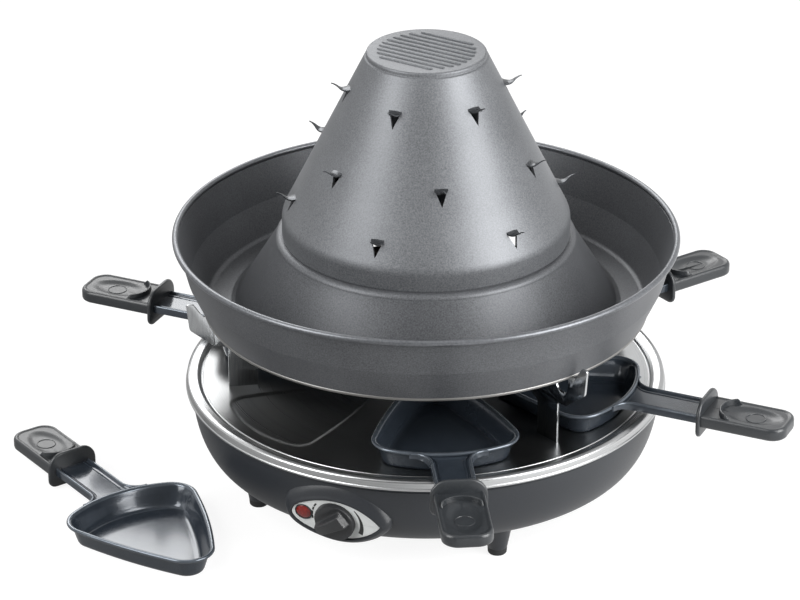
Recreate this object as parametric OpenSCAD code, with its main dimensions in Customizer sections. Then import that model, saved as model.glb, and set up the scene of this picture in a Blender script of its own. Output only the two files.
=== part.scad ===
// Table raclette grill with a conical grilling hat on a ring-shaped broth pan.
// Millimetres, +Z up. The origin is on the table, on the grill's vertical axis, and the
// control panel faces the front, which is -Y.

/* [Base] */
// Height of the base's underside above the table
foot_h = 25; // [22:1:30]
// Height of the black base's wall
base_h = 45.5; // [44:0.5:48]
// Outer radius of the base under the steel ring
base_r = 154.5; // [150.5:1:155.5]
// How far the base's wall draws in towards its floor
base_draw_in = 20; // [16:1:22]
// Wall and floor thickness of the base
base_wall = 3; // [2.5:0.5:4]
// Diameter of a foot where it meets the base
foot_d = 16; // [14:1:20]
// Radius of the circle that the feet stand on
foot_ring_r = 119; // [108:1:121]
// Height of a foot's rubber pad
pad_h = 5; // [4:1:8]

/* [Steel tray] */
// Outer radius of the tray's rolled ring
ring_r = 158; // [157:0.5:160.5]
// Height of the rolled ring
ring_h = 7; // [6.5:0.5:8]
// Height of the tray's flat above the base's wall
tray_rise = 4.5; // [4.25:0.25:5.5]
// Thickness of the tray's sheet
tray_t = 1; // [0.8:0.1:1.2]
// Depth of a pan's recess
recess_depth = 0.8; // [0.4:0.1:1]

/* [Broth pan] */
// Height of the pan's seat above the tray
stand_h = 52; // [49:1:56]
// Outer radius of the rim bead
broth_r = 165; // [163:1:170]
// Height of the pan from its underside to its rim
broth_h = 51; // [48:1:56]
// Outer radius of the pan's underside
broth_bottom_r = 145; // [143.5:0.5:146.5]
// Height of the step in the outer wall
broth_step_h = 24; // [20:0.5:28]
// Thickness of the pan
broth_t = 2; // [1.6:0.1:2.4]
// Radius where the floor meets the central dome
dome_foot_r = 124; // [122:0.2:126]
// Height of the dome's ledge above the pan's underside
dome_h = 50; // [46:1:52]

/* [Hat] */
// Height of the hat
hat_h = 126; // [116:1:140]
// Radius of the hat's top
hat_top_r = 38; // [32:1:44]
// Outer radius of the hat's upright collar
hat_collar_r = 93.6; // [90:0.2:96]
// Height of the collar
hat_collar_h = 14; // [10:1:18]
// Thickness of the hat's sheet
hat_t = 1.8; // [1.4:0.1:2.2]
// Number of hooks in each of the three rows
hooks_in_row = 6; // [4:1:8]
// Width of a hook at its root
hook_w = 8.8; // [6:0.2:10]
// Length of a hook
hook_l = 12; // [9:0.5:14]
// Number of raised ribs on the top
rib_count = 10; // [6:2:10]

/* [Raclette pans] */
// Width of a pan
pan_w = 94; // [88:1:95]
// Depth of a pan
pan_h = 16; // [13:1:18]
// Thickness of a pan's wall
pan_t = 1.2; // [1:0.1:1.6]
// Distance of a pan's wide side from the grill's axis
pan_out_r = 145.5; // [143.5:0.5:146]
// Width of the neck
neck_w = 26; // [22:1:30]
// Length of the neck from the pan to the grip's guard
neck_l = 50; // [44:1:60]
// Length of the grip beyond its guard
grip_l = 54; // [46:1:64]
// Width of the grip
grip_w = 32; // [28:1:34]
// Thickness of the grip
grip_t = 8.5; // [8:0.5:10]

/* [Heater and stand] */
// Radius of the heater's loop
heater_r = 105; // [102:1:108]
// Diameter of the heater's tube
heater_d = 7; // [6:0.5:8]
// Thickness of a bracket's sheet
bracket_t = 1.5; // [1:0.1:2]

/* [Controls] */
// Direction of the control panel, in degrees from +X
control_az = -111.8; // [-114:0.2:-108]
// Width of the eye-shaped plate
panel_w = 61; // [58:1:64]
// Height of the eye-shaped plate
panel_h = 28; // [28:0.5:31]
// Diameter of the knob
knob_d = 27; // [25:0.2:27]
// Diameter of the lamp's lens
lamp_d = 10.5; // [9:0.5:12]

/* [Hidden] */
$fn = 72;

// Amount by which a cut runs past the face that it opens
cut = 1;
// Play of a loose fit between neighbours, on each side
play = 0.3;
// Play of a close fit within one assembly, on each side
close = 0.1;
// Play of the shaft in its bearing
shaft_play = 0.05;

// Heights
base_top = foot_h + base_h;
floor_top = foot_h + base_wall;
tray_z = base_top + tray_rise;
tray_under = tray_z - tray_t;
ring_top = base_top + ring_h;
pan_seat_z = tray_z - recess_depth;
broth_z = tray_z + stand_h;
ledge_z = broth_z + dome_h;
hat_top_z = ledge_z + hat_h;

// Six pan places, 60 degrees apart, with the gaps half way between them
pan_count = 6;
pan_step = 360 / pan_count;
first_pan_az = -84;
function pan_az(i) = first_pan_az + i * pan_step;
function gap_az(i) = pan_az(i) + pan_step / 2;
function bracket_az(i) = gap_az(i) + bracket_turn;
bracket_gaps = [0, 2, 4];
bracket_turn = 4;
screw_gaps = [1, 3, 5];
heater_gap = 3;

// The loose pan lies on the table in front of its empty place
loose_az = 126;
loose_at = [-119, -178, 0];

// Base
base_floor_r = base_r - base_draw_in;
bowl_steps = 10;
foot_az = [-67, 23, 113, 203];
foot_taper = 2.5;
spigot_r = 4;
spigot_h = 2;
pad_r = 6;
pad_edge = 1;
stud_r = 2.5;
stud_h = 6;
cover_r = 70;
cover_t = 2;
service_r = 60;
cover_screw_ring_r = 65;
cover_screw_r = 1.5;
cover_screw_l = 9;
cover_head_r = 3;
cover_head_h = 2;
cover_boss_r = 4;
cover_boss_h = 8;

// Tray
roll_r = 4;
roll_mid = ring_r - roll_r;
ring_lip = 5;
groove_w = 1.6;
groove_depth = 1.5;
flat_r = roll_mid - roll_r - 2 * groove_w;
recess_margin = -3;
tray_screw_ring_r = 84;
tray_screw_r = 2;
tray_head_r = 4;
tray_head_h = 2.4;
weld_nut_r = 5;
weld_nut_h = 5;
boss_r = 5.5;
shield_t = 1;
shield_inset = 9.5;
shield_r = base_r - shield_inset;
shield_z = tray_under - 13;
spacer_r = 4.5;

// Brackets
leg_in_r = 112;
leg_out_r = 131;
notch_r = 5.5;
notch_inset = 10;
notch_mid_r = broth_bottom_r - notch_inset;
notch_drop = 8.8;
horn_w = 5;
horn_rise = 9;
tab_w = 6;
tab_inset = 2;
tab_fold = 5;
tab_starts = [leg_in_r + tab_inset, leg_out_r - tab_inset - tab_w];
arm_drop = 22.5;
arm_reach = 8;
horn_lean = 2;
horn_drop = 9;
horn_play = 2;
seat_w = 10.5;
seat_drop_w = 3;
hanger_wall = 4;
hanger_rise = 2;
hanger_drop = 14;

// Heater
heater_drop = 11;
heater_z = broth_z - heater_drop;
heater_tube_r = heater_d / 2;
elbow_r = 9;
leg_offset = 8;
heater_half_gap = asin((leg_offset + elbow_r) / heater_r);
heater_leg_x = heater_r * cos(heater_half_gap) + elbow_r * sin(heater_half_gap);
heater_leg_y = heater_r * sin(heater_half_gap) - elbow_r * cos(heater_half_gap);
leg_bottom_z = shield_z - 10;
bush_r = 5.5;
bush_flange_r = 7.4;
bush_flange_h = 2;
bush_below = 3;
terminal_r = 2;
terminal_l = 8;
heater_sides = 12;
elbow_steps = 5;
loop_steps = 54;

// Controls: the panel follows the slope of the wall, and distances along the control axis
// are counted outwards from the plate's front
control_r = base_r - 2.5;
control_z = foot_h + 16;
control_tilt = 12;
plate_t = 1;
lip_front = 1.5;
lip_w = 3.5;
lip_end_w = 5;
boss_back = -20;
lamp_u = -21.9;
lamp_v = 0.6;
shaft_r = 3;
shaft_end = 8;
knob_gap = 0.5;
knob_skirt_h = 4;
knob_bar_h = 5.5;
knob_bar_w = 8;
knob_bar_angle = 33;
knob_bar_inset = 1;
thermostat_w = 30;
thermostat_h = 18;
thermostat_d = 20;
thermostat_front = -12;
neck_r = 4.6;
lamp_body_r = 5;
lamp_body_l = 13;
lamp_body_front = -7;
lens_proud = 1.4;
inlet_az = 110;
inlet_z = foot_h + 22;
inlet_r = 3.75;
gland_r = 7;
gland_flange_r = 9.5;
gland_flange_t = 3;
gland_in = 13;
inlet_pad_r = 11;
inlet_face = base_r + 0.5;

// Wiring
wire_r = 1.2;
wire_sides = 8;
wire_lean = [0.3, 0.2, 0.6];
block_az = 98;
block_r = 112;
block_w = 30;
block_d = 16;
block_h = 13;
block_holes = 3;
block_hole_r = 2;
fuse_az = 150;
fuse_r = 96;
fuse_w = 16;
fuse_d = 8;
fuse_h = 5;

// Broth pan
bead_r = 2;
bead_mid_r = broth_r - bead_r;
broth_rim_z = broth_z + broth_h;
step_r = broth_r - 10;
step_z = broth_z + broth_step_h;
slope_top_r = step_r - broth_t;
broth_floor_z = broth_z + broth_t;
floor_out_r = broth_bottom_r - 3.5;
shoulder_r = 4;
ledge_out_r = hat_collar_r + 0.6;
lip_h = 6;
pan_corner = 1;
bead_start = -40;
lip_out_r = hat_collar_r - hat_t - 2 * play;
opening_r = lip_out_r - broth_t;

// Hat
hat_cone_h = hat_h - hat_collar_h;
hat_slope = atan((hat_collar_r - hat_top_r) / hat_cone_h);
hat_top_round = 4.5;
hook_rows = [[22.7, -113.2], [65.2, -82.3], [95.5, -110.8]];
hook_t = 1.2;
hook_root = 0.7 * hat_t;
hook_bend_l = 0.35 * hook_l;
hook_dip_l = 0.7 * hook_l;
hook_dip = 0.3 * hook_t;
hook_rise = 1.4 * hook_t;
hook_tip_t = 0.6;
hook_tip_w = 0.8;
hook_neck = 0.5;
hat_hem = 0.8;
rib_az = -32;
rib_pitch = 5.5;
rib_w = 2.2;
rib_h = 1;
rib_field_r = hat_top_r - 6;

// Raclette pan outline: four arcs on each side of its long axis
pan_back_r = 85;
pan_corner_r = 18;
pan_tip_r = 18;
pan_taper = 24;
pan_bow = 6.5;
pan_a1 = asin((pan_w / 2 - pan_corner_r) / (pan_back_r - pan_corner_r));
pan_a2 = 90 + pan_taper - pan_bow;
pan_a3 = 90 + pan_taper + pan_bow;
pan_side_r = (pan_back_r * sin(pan_a1) + pan_corner_r * (sin(pan_a2) - sin(pan_a1))
    - pan_tip_r * sin(pan_a3)) / (sin(pan_a2) - sin(pan_a3));
function toward(a) = [cos(a), sin(a)];
pan_c1 = [pan_out_r - pan_back_r, 0];
pan_c2 = pan_c1 + (pan_back_r - pan_corner_r) * toward(pan_a1);
pan_c3 = pan_c2 + (pan_corner_r - pan_side_r) * toward(pan_a2);
pan_c4 = pan_c3 + (pan_side_r - pan_tip_r) * toward(pan_a3);
pan_foot_inset = 9.5;
pan_rim_h = 2;
pan_rim_w = 2.6;
pan_rim_round = 0.8;
pan_foot_out = 2.3;
pan_foot_round = 1;
pan_wall_out = 3.3;
pan_wall_z = 3.2;
neck_plate_t = 1.4;
neck_z = pan_h - 3.6;
flange_t = 2;
flange_h = 5;
neck_fillet = 8;
neck_root_r = pan_out_r - 2.2;
guard_x = pan_out_r + neck_l;
guard_t = 4;
guard_w = grip_w + 2;
guard_up = 11;
guard_down = 10;
guard_up_round = 12;
guard_down_round = 5;
tongue_w = 18;
tongue_l = 30;
grip_round = 10;
grip_z = neck_z + neck_plate_t / 2 - grip_t / 2;
scoop_r = 46;
scoop_depth = 1.6;

// Points of an arc about c, from angle a to angle b, in n steps
function arc(c, r, a, b, n) = [for (i = [0:n]) c + r * toward(a + (b - a) * i / n)];

// The same arc without its first point, for a curve that goes on from another one
function arc_on(c, r, a, b, n) = [for (i = [1:n]) c + r * toward(a + (b - a) * i / n)];

// Half of a pan's outline, offset outwards by d, from its wide side round to its tip
function pan_half(d) = concat(
    arc(pan_c1, pan_back_r + d, 0, pan_a1, 3),
    arc_on(pan_c2, pan_corner_r + d, pan_a1, pan_a2, 6),
    arc_on(pan_c3, pan_side_r + d, pan_a2, pan_a3, 3),
    arc_on(pan_c4, pan_tip_r + d, pan_a3, 180, 5)
);
function pan_outline(d) = let (h = pan_half(d), n = len(h))
    concat(h, [for (i = [n - 2:-1:1]) [h[i].x, -h[i].y]]);

// Closed skin over a stack of rings that all have n points, capped at both ends
function ring_faces(rings, n) = concat(
    [[for (i = [0:n - 1]) i]],
    [for (k = [0:rings - 2], i = [0:n - 1]) [k * n + i, (k + 1) * n + i, (k + 1) * n + (i + 1) % n]],
    [for (k = [0:rings - 2], i = [0:n - 1]) [k * n + i, (k + 1) * n + (i + 1) % n, k * n + (i + 1) % n]],
    [[for (i = [n - 1:-1:0]) (rings - 1) * n + i]]
);

// Tube of n sides along a route, with a vector square to the route at each of its points
function unit(v) = v / norm(v);
function heading(route, i) = unit(
    (i == 0 ? [0, 0, 0] : unit(route[i] - route[i - 1]))
    + (i == len(route) - 1 ? [0, 0, 0] : unit(route[i + 1] - route[i])));
function tube_points(route, squares, r, n) = [
    for (i = [0:len(route) - 1])
        let (u = squares[i], v = cross(heading(route, i), u))
            for (k = [0:n - 1]) route[i] + r * (cos(k * 360 / n) * u + sin(k * 360 / n) * v)
];
module tube(route, squares, r, n) {
    polyhedron(tube_points(route, squares, r, n), ring_faces(len(route), n));
}
module wire(route) {
    squares = [for (i = [0:len(route) - 1]) unit(cross(heading(route, i), wire_lean))];
    tube(route, squares, wire_r, wire_sides);
}
// Upright cylinder that starts at height z
module rod(z, r, h) {
    translate([0, 0, z]) cylinder(r = r, h = h);
}
// Point at radius r, angle a and height z
function at(r, a, z) = [r * cos(a), r * sin(a), z];

// Places children on the control axis, s in front of the plate, with x across, y up and z outwards
module on_control(s) {
    translate(at(control_r, control_az, control_z)) rotate([90 + control_tilt, 0, control_az + 90])
        translate([0, 0, s]) children();
}
// Eye-shaped outline of two crossing circles
module eye(w, h) {
    r = (w * w + h * h) / (4 * h);
    intersection() {
        translate([0, r - h / 2]) circle(r);
        translate([0, h / 2 - r]) circle(r);
    }
}
module at_tray_screws() {
    for (i = screw_gaps) rotate([0, 0, gap_az(i)]) translate([tray_screw_ring_r, 0, 0]) children();
}
module at_cover_screws() {
    for (i = [0:3]) rotate([0, 0, 45 + 90 * i]) translate([cover_screw_ring_r, 0, 0]) children();
}
module at_feet() {
    for (a = foot_az) rotate([0, 0, a]) translate([foot_ring_r, 0, 0]) children();
}
module at_heater_legs() {
    rotate([0, 0, gap_az(heater_gap)])
        for (side = [-1, 1]) translate([heater_leg_x, side * heater_leg_y, 0]) children();
}
module toward_inlet(s) {
    rotate([0, 0, inlet_az]) translate([s, 0, inlet_z]) rotate([0, 90, 0]) children();
}

// Profile of the bowl, drawn in by the wall where w is not zero
function bowl(w) = concat(
    [[0, foot_h + w]],
    [for (i = [0:bowl_steps]) let (a = 90 * i / bowl_steps)
        [base_floor_r + (base_draw_in - w) * sin(a), base_top - (base_h - w) * cos(a)]]
);

module base_housing() {
    color("#3b3d40") difference() {
        union() {
            difference() {
                union() {
                    rotate_extrude() polygon(concat(bowl(0), [[0, base_top]]));
                    on_control(boss_back) linear_extrude(lip_front - boss_back)
                        eye(panel_w + 2 * lip_end_w, panel_h + 2 * lip_w);
                    toward_inlet(base_floor_r) cylinder(r = inlet_pad_r, h = inlet_face - base_floor_r);
                }
                rotate_extrude() polygon(concat(bowl(base_wall), [[base_r - base_wall, base_top + cut],
                    [0, base_top + cut]]));
            }
            at_tray_screws() rod(foot_h + base_wall / 2, boss_r, shield_z - foot_h - base_wall / 2);
            at_cover_screws() rod(foot_h + base_wall / 2, cover_boss_r, cover_boss_h + base_wall / 2);
        }
        // Service opening and the holes in the floor
        rod(foot_h - cut, service_r, base_wall + 2 * cut);
        at_cover_screws() rod(foot_h - cut, cover_screw_r + close, cover_boss_h + base_wall + 2 * cut);
        at_tray_screws() {
            rod(foot_h - cut, tray_screw_r + close, shield_z - foot_h + 2 * cut);
            rod(foot_h - cut, tray_head_r + play, cut + tray_head_h);
        }
        at_feet() rod(foot_h - cut, spigot_r + close, base_wall + 2 * cut);
        // Seat of the control plate, and the holes behind it
        on_control(-plate_t) linear_extrude(plate_t + lip_front + cut)
            eye(panel_w + 2 * play, panel_h + 2 * play);
        on_control(boss_back - cut) cylinder(r = neck_r + close, h = -boss_back - plate_t + 2 * cut);
        on_control(boss_back - cut) translate([lamp_u, lamp_v, 0])
            cylinder(r = lamp_d / 2 + close, h = -boss_back - plate_t + 2 * cut);
        toward_inlet(base_floor_r - cut)
            cylinder(r = gland_r + close, h = inlet_face - base_floor_r + 2 * cut);
    }
}

module bottom_cover() {
    color("#2f3032") difference() {
        rod(foot_h - cover_t, cover_r, cover_t);
        at_cover_screws() rod(foot_h - cover_t - cut, cover_screw_r + close, cover_t + 2 * cut);
    }
}

module cover_screws() {
    color("silver") at_cover_screws() {
        rod(foot_h - cover_t - cover_head_h, cover_head_r, cover_head_h);
        rod(foot_h - cover_t, cover_screw_r, cover_screw_l);
    }
}

module feet() {
    color("#3b3d40") at_feet() difference() {
        union() {
            translate([0, 0, pad_h])
                cylinder(r1 = (foot_d - foot_taper) / 2, r2 = foot_d / 2, h = foot_h - pad_h);
            rod(foot_h, spigot_r, base_wall + spigot_h);
        }
        rod(pad_h - cut, stud_r + close, stud_h + cut + close);
    }
}

module foot_pads() {
    color("#232425") at_feet() {
        rotate_extrude()
            polygon([[0, 0], [pad_r - pad_edge, 0], [pad_r, pad_edge], [pad_r, pad_h], [0, pad_h]]);
        rod(pad_h, stud_r, stud_h);
    }
}

// Section of the tray's sheet: flat, groove, rolled ring and the lip turned in under it
module tray_section() {
    roll_z = ring_top - roll_r;
    bottom_z = tray_z - groove_depth;
    inner = roll_r - tray_t;
    polygon(concat(
        [[0, tray_under], [flat_r - tray_t / 2, tray_under],
            [flat_r + groove_w - tray_t / 2, bottom_z - tray_t], [flat_r + 2 * groove_w, bottom_z - tray_t]],
        arc([roll_mid, roll_z], inner, 180, 0, 12),
        [[ring_r - tray_t, base_top + tray_t], [ring_r - ring_lip, base_top + tray_t],
            [ring_r - ring_lip, base_top], [ring_r, base_top]],
        arc([roll_mid, roll_z], roll_r, 0, 180, 12),
        [[flat_r + 2 * groove_w - tray_t / 2, bottom_z], [flat_r + groove_w, bottom_z],
            [flat_r, tray_z], [0, tray_z]]
    ));
}

module steel_tray() {
    color("#c9cbcc") difference() {
        union() {
            rotate_extrude() tray_section();
            for (i = [0:pan_count - 1]) rotate([0, 0, pan_az(i)])
                translate([0, 0, tray_under - recess_depth])
                    linear_extrude(recess_depth + tray_t / 2) polygon(pan_outline(recess_margin));
            at_tray_screws() rod(tray_under - weld_nut_h, weld_nut_r, weld_nut_h + tray_t / 2);
        }
        for (i = [0:pan_count - 1]) rotate([0, 0, pan_az(i)]) translate([0, 0, pan_seat_z])
            linear_extrude(recess_depth + cut) polygon(pan_outline(recess_margin - tray_t));
        at_tray_screws() rod(tray_under - weld_nut_h - cut, tray_screw_r + close, weld_nut_h + cut);
        at_heater_legs() rod(tray_under - cut, bush_r + close, tray_t + 2 * cut);
        for (i = bracket_gaps, x = tab_starts) rotate([0, 0, bracket_az(i)])
            translate([x - close, -bracket_t / 2 - close, tray_under - cut])
                cube([tab_w + 2 * close, bracket_t + 2 * close, tray_t + 2 * cut]);
    }
}

module heat_shield() {
    color("#b9bcbe") difference() {
        rod(shield_z, shield_r, shield_t);
        at_tray_screws() rod(shield_z - cut, tray_screw_r + close, shield_t + 2 * cut);
        at_heater_legs() rod(shield_z - cut, heater_tube_r + cut, shield_t + 2 * cut);
    }
}

module tray_spacers() {
    z = shield_z + shield_t;
    color("silver") at_tray_screws() difference() {
        rod(z, spacer_r, tray_under - weld_nut_h - z);
        rod(z - cut, tray_screw_r + close, tray_under - weld_nut_h - z + 2 * cut);
    }
}

module tray_screws() {
    color("silver") at_tray_screws() {
        rod(foot_h, tray_head_r, tray_head_h);
        rod(foot_h + tray_head_h, tray_screw_r, tray_under - tray_t - foot_h - tray_head_h);
    }
}

// Outline of a support bracket, radius across and height up
module bracket_outline() {
    notch_z = broth_z - notch_drop;
    seat_in_r = notch_mid_r - notch_r - seat_w;
    heater_notch = heater_tube_r + play;
    arm_top = heater_z + heater_tube_r + hanger_rise;
    hanger_r = heater_r - heater_notch - hanger_wall;
    horn_in_r = step_r - horn_play;
    horn_r = horn_in_r + horn_w;
    polygon(concat(
        [[leg_in_r, tray_z], [leg_out_r, tray_z], [leg_out_r, broth_z - arm_drop],
            [leg_out_r + arm_reach, broth_z - arm_drop], [horn_r - horn_lean, broth_z - horn_drop],
            [horn_r, broth_z + horn_rise], [horn_in_r, broth_z + horn_rise],
            [broth_bottom_r + horn_play, broth_z], [notch_mid_r + notch_r, broth_z]],
        arc([notch_mid_r, notch_z], notch_r, 0, -180, 10),
        [[notch_mid_r - notch_r, broth_z], [seat_in_r, broth_z],
            [seat_in_r - seat_drop_w, arm_top], [heater_r + heater_notch, arm_top]],
        arc([heater_r, heater_z], heater_notch, 0, -180, 10),
        [[heater_r - heater_notch, arm_top], [hanger_r, arm_top],
            [hanger_r, heater_z - heater_notch - hanger_wall],
            [leg_in_r, heater_z - heater_notch - hanger_drop]]
    ));
}

module bracket(i) {
    color("#d3d5d6") rotate([0, 0, bracket_az(i)]) {
        translate([0, bracket_t / 2, 0]) rotate([90, 0, 0]) linear_extrude(bracket_t) bracket_outline();
        for (x = tab_starts) {
            translate([x, -bracket_t / 2, tray_under - bracket_t])
                cube([tab_w, bracket_t, tray_t + 2 * bracket_t]);
            translate([x, -bracket_t / 2, tray_under - bracket_t]) cube([tab_w, tab_fold, bracket_t]);
        }
    }
}

// Heater: up one leg, round the elbow, once round the loop, and down again, about its gap
function loop_square(a) = [cos(a), sin(a), 0];
elbow_mid = at(heater_r, heater_half_gap, heater_z - elbow_r);
elbow_way = [sin(heater_half_gap), -cos(heater_half_gap), 0];
heater_rise = concat(
    [[heater_leg_x, heater_leg_y, leg_bottom_z]],
    [for (i = [0:elbow_steps - 1]) let (a = 90 * i / elbow_steps)
        elbow_mid + elbow_r * (cos(a) * elbow_way + [0, 0, sin(a)])]
);
heater_loop = [for (i = [0:loop_steps]) heater_half_gap + (360 - 2 * heater_half_gap) * i / loop_steps];
heater_route = concat(
    heater_rise,
    [for (a = heater_loop) at(heater_r, a, heater_z)],
    [for (i = [len(heater_rise) - 1:-1:0]) [heater_rise[i].x, -heater_rise[i].y, heater_rise[i].z]]
);
heater_squares = concat(
    [for (p = heater_rise) loop_square(heater_half_gap)],
    [for (a = heater_loop) loop_square(a)],
    [for (p = heater_rise) loop_square(-heater_half_gap)]
);
module heating_element() {
    color("#55524f") rotate([0, 0, gap_az(heater_gap)])
        tube(heater_route, heater_squares, heater_tube_r, heater_sides);
}

module heater_bushes() {
    color("ivory") at_heater_legs() difference() {
        union() {
            rod(tray_under - bush_below, bush_r, bush_below + tray_t);
            rod(tray_z, bush_flange_r, bush_flange_h);
        }
        translate([0, 0, tray_under - bush_below - cut])
            cylinder(r = heater_tube_r + close, h = bush_below + tray_t + bush_flange_h + 2 * cut);
    }
}

module heater_terminals() {
    color("silver") at_heater_legs() rod(leg_bottom_z - terminal_l, terminal_r, terminal_l);
}

module terminal_block() {
    color("ivory") rotate([0, 0, block_az]) difference() {
        translate([block_r - block_d / 2, -block_w / 2, floor_top]) cube([block_d, block_w, block_h]);
        for (i = [0:block_holes - 1])
            translate([block_r, (i - 1) * block_w / block_holes, floor_top + block_h / 2])
                rotate([0, 90, 0]) cylinder(r = block_hole_r, h = block_d + 2 * cut, center = true);
    }
}

module thermal_fuse() {
    color("#d8d2c4") rotate([0, 0, fuse_az])
        translate([fuse_r - fuse_d / 2, -fuse_w / 2, shield_z - fuse_h]) cube([fuse_d, fuse_w, fuse_h]);
}

module thermostat() {
    color("#8d7a5c") difference() {
        union() {
            on_control(thermostat_front - thermostat_d) translate([-thermostat_w / 2, -thermostat_h / 2, 0])
                cube([thermostat_w, thermostat_h, thermostat_d]);
            on_control(thermostat_front - cut) cylinder(r = neck_r, h = cut - plate_t - thermostat_front);
        }
        on_control(thermostat_front - thermostat_d / 2)
            cylinder(r = shaft_r + shaft_play, h = thermostat_d / 2 - thermostat_front);
    }
}

module thermostat_shaft() {
    start = thermostat_front - thermostat_d / 2 + play;
    color("silver") on_control(start) cylinder(r = shaft_r, h = shaft_end - start);
}

module control_plate() {
    color("#cfd2d1") on_control(-plate_t) linear_extrude(plate_t) difference() {
        eye(panel_w, panel_h);
        circle(neck_r + close);
        translate([lamp_u, lamp_v]) circle(lamp_d / 2 + close);
    }
}

module control_knob() {
    color("#2c2d2f") on_control(knob_gap) difference() {
        union() {
            cylinder(d = knob_d, h = knob_skirt_h);
            rotate([0, 0, knob_bar_angle]) intersection() {
                cylinder(d = knob_d - 2 * knob_bar_inset, h = knob_skirt_h + knob_bar_h);
                translate([-knob_d / 2, -knob_bar_w / 2, knob_skirt_h / 2])
                    cube([knob_d, knob_bar_w, knob_skirt_h / 2 + knob_bar_h]);
            }
        }
        rod(-cut, shaft_r + shaft_play, cut + shaft_end - knob_gap + play);
    }
}

module lamp_lens() {
    lens_l = lens_proud - lamp_body_front;
    color("#7c2b24") on_control(lamp_body_front) translate([lamp_u, lamp_v, 0]) intersection() {
        cylinder(d = lamp_d, h = lens_l + cut);
        translate([0, 0, lens_l - lamp_d]) sphere(lamp_d);
    }
}

module lamp_body() {
    color("#e4e0d8") on_control(lamp_body_front - lamp_body_l) translate([lamp_u, lamp_v, 0])
        cylinder(r = lamp_body_r, h = lamp_body_l);
}

module cord_inlet() {
    color("#232425") difference() {
        union() {
            toward_inlet(inlet_face - gland_in) cylinder(r = gland_r, h = gland_in);
            toward_inlet(inlet_face) cylinder(r = gland_flange_r, h = gland_flange_t);
        }
        toward_inlet(inlet_face - gland_in - cut)
            cylinder(r = inlet_r, h = gland_in + gland_flange_t + 2 * cut);
    }
}

// Ends of the wires: block terminals, thermostat tags, heater pins and lamp tags
function block_end(i) = at(block_r - block_d / 2, block_az, floor_top + block_h / 2)
    + (i - 1) * block_w / block_holes * [-sin(block_az), cos(block_az), 0];
function heater_pin(side) = at(heater_leg_x, gap_az(heater_gap), leg_bottom_z - terminal_l)
    + side * heater_leg_y * [-sin(gap_az(heater_gap)), cos(gap_az(heater_gap)), 0];
function control_point(s, u, v) = let (c = cos(control_tilt), d = sin(control_tilt))
    at(control_r + s * c + v * d, control_az, control_z - s * d + v * c)
    + u * [-sin(control_az), cos(control_az), 0];
thermostat_back = thermostat_front - thermostat_d;
lamp_back = lamp_body_front - lamp_body_l;
tag_u = 6;
wire_run = 14;
pin_run = [0, 0, 5];
block_run = at(wire_run, block_az, 0);
function thermostat_tag(u, back) = control_point(thermostat_back - back, u, 0);
function lamp_tag(back) = control_point(lamp_back - back, lamp_u, lamp_v);
function via(x, y, rise) = [x, y, foot_h + rise];

module live_wire() {
    color("saddlebrown") wire([block_end(0), block_end(0) - block_run, via(0, 20, 9), via(-8, -50, 13),
        via(-22, -92, 23), thermostat_tag(tag_u, wire_run), thermostat_tag(tag_u, 0)]);
}

module switched_wire() {
    color("dimgray") wire([thermostat_tag(-tag_u, 0), thermostat_tag(-tag_u, wire_run), via(-60, -70, 17),
        via(-66, 0, 13), via(-72, 50, 10), heater_pin(1) - pin_run, heater_pin(1)]);
}

module neutral_wire() {
    color("steelblue") wire([block_end(2), block_end(2) - block_run / 2, via(-44, 92, 9),
        heater_pin(-1) - pin_run, heater_pin(-1)]);
}

module lamp_wire() {
    color("steelblue") wire([block_end(1), block_end(1) - block_run, via(-24, -20, 7), via(-74, -40, 9),
        lamp_tag(wire_run), lamp_tag(0)]);
}

module broth_pan() {
    drop = ledge_z - shoulder_r - broth_floor_z;
    shoulder_out_r = ledge_out_r + shoulder_r;
    lean = (dome_foot_r - shoulder_out_r) / drop;
    under = broth_t / cos(atan(lean));
    color("#5d6064") rotate_extrude() polygon(concat(
        // Underside, from the opening down the dome, out to the edge and up the wall
        [[opening_r, ledge_z - broth_t], [ledge_out_r - broth_t / 2, ledge_z - broth_t],
            [shoulder_out_r - under, ledge_z - shoulder_r - broth_t / 2],
            [dome_foot_r - under + broth_t * lean, broth_z], [broth_bottom_r - pan_corner, broth_z],
            [broth_bottom_r, broth_z + pan_corner], [step_r, step_z],
            [step_r + pan_corner, step_z + pan_corner],
            [bead_mid_r + pan_corner / 2, broth_rim_z - 2 * bead_r]],
        // Bead of the rim
        arc([bead_mid_r, broth_rim_z - bead_r], bead_r, bead_start, 180, 10),
        // Inside, from the rim down to the floor, up the dome and over its ledge to the lip
        [[slope_top_r, step_z - pan_corner], [floor_out_r + pan_corner, broth_floor_z + pan_corner],
            [floor_out_r, broth_floor_z], [dome_foot_r + pan_corner, broth_floor_z],
            [dome_foot_r - pan_corner, broth_floor_z + pan_corner]],
        arc([ledge_out_r, ledge_z - shoulder_r], shoulder_r, 0, 90, 5),
        [[lip_out_r, ledge_z], [lip_out_r, ledge_z + lip_h], [opening_r, ledge_z + lip_h]]
    ));
}

// Places children at a hook's root on the cone: x outwards, z up
module at_hooks() {
    for (row = hook_rows, k = [0:hooks_in_row - 1])
        rotate([0, 0, row[1] + k * 360 / hooks_in_row])
            translate([hat_top_r + row[0] * tan(hat_slope), 0, hat_top_z - row[0]]) children();
}
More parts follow.
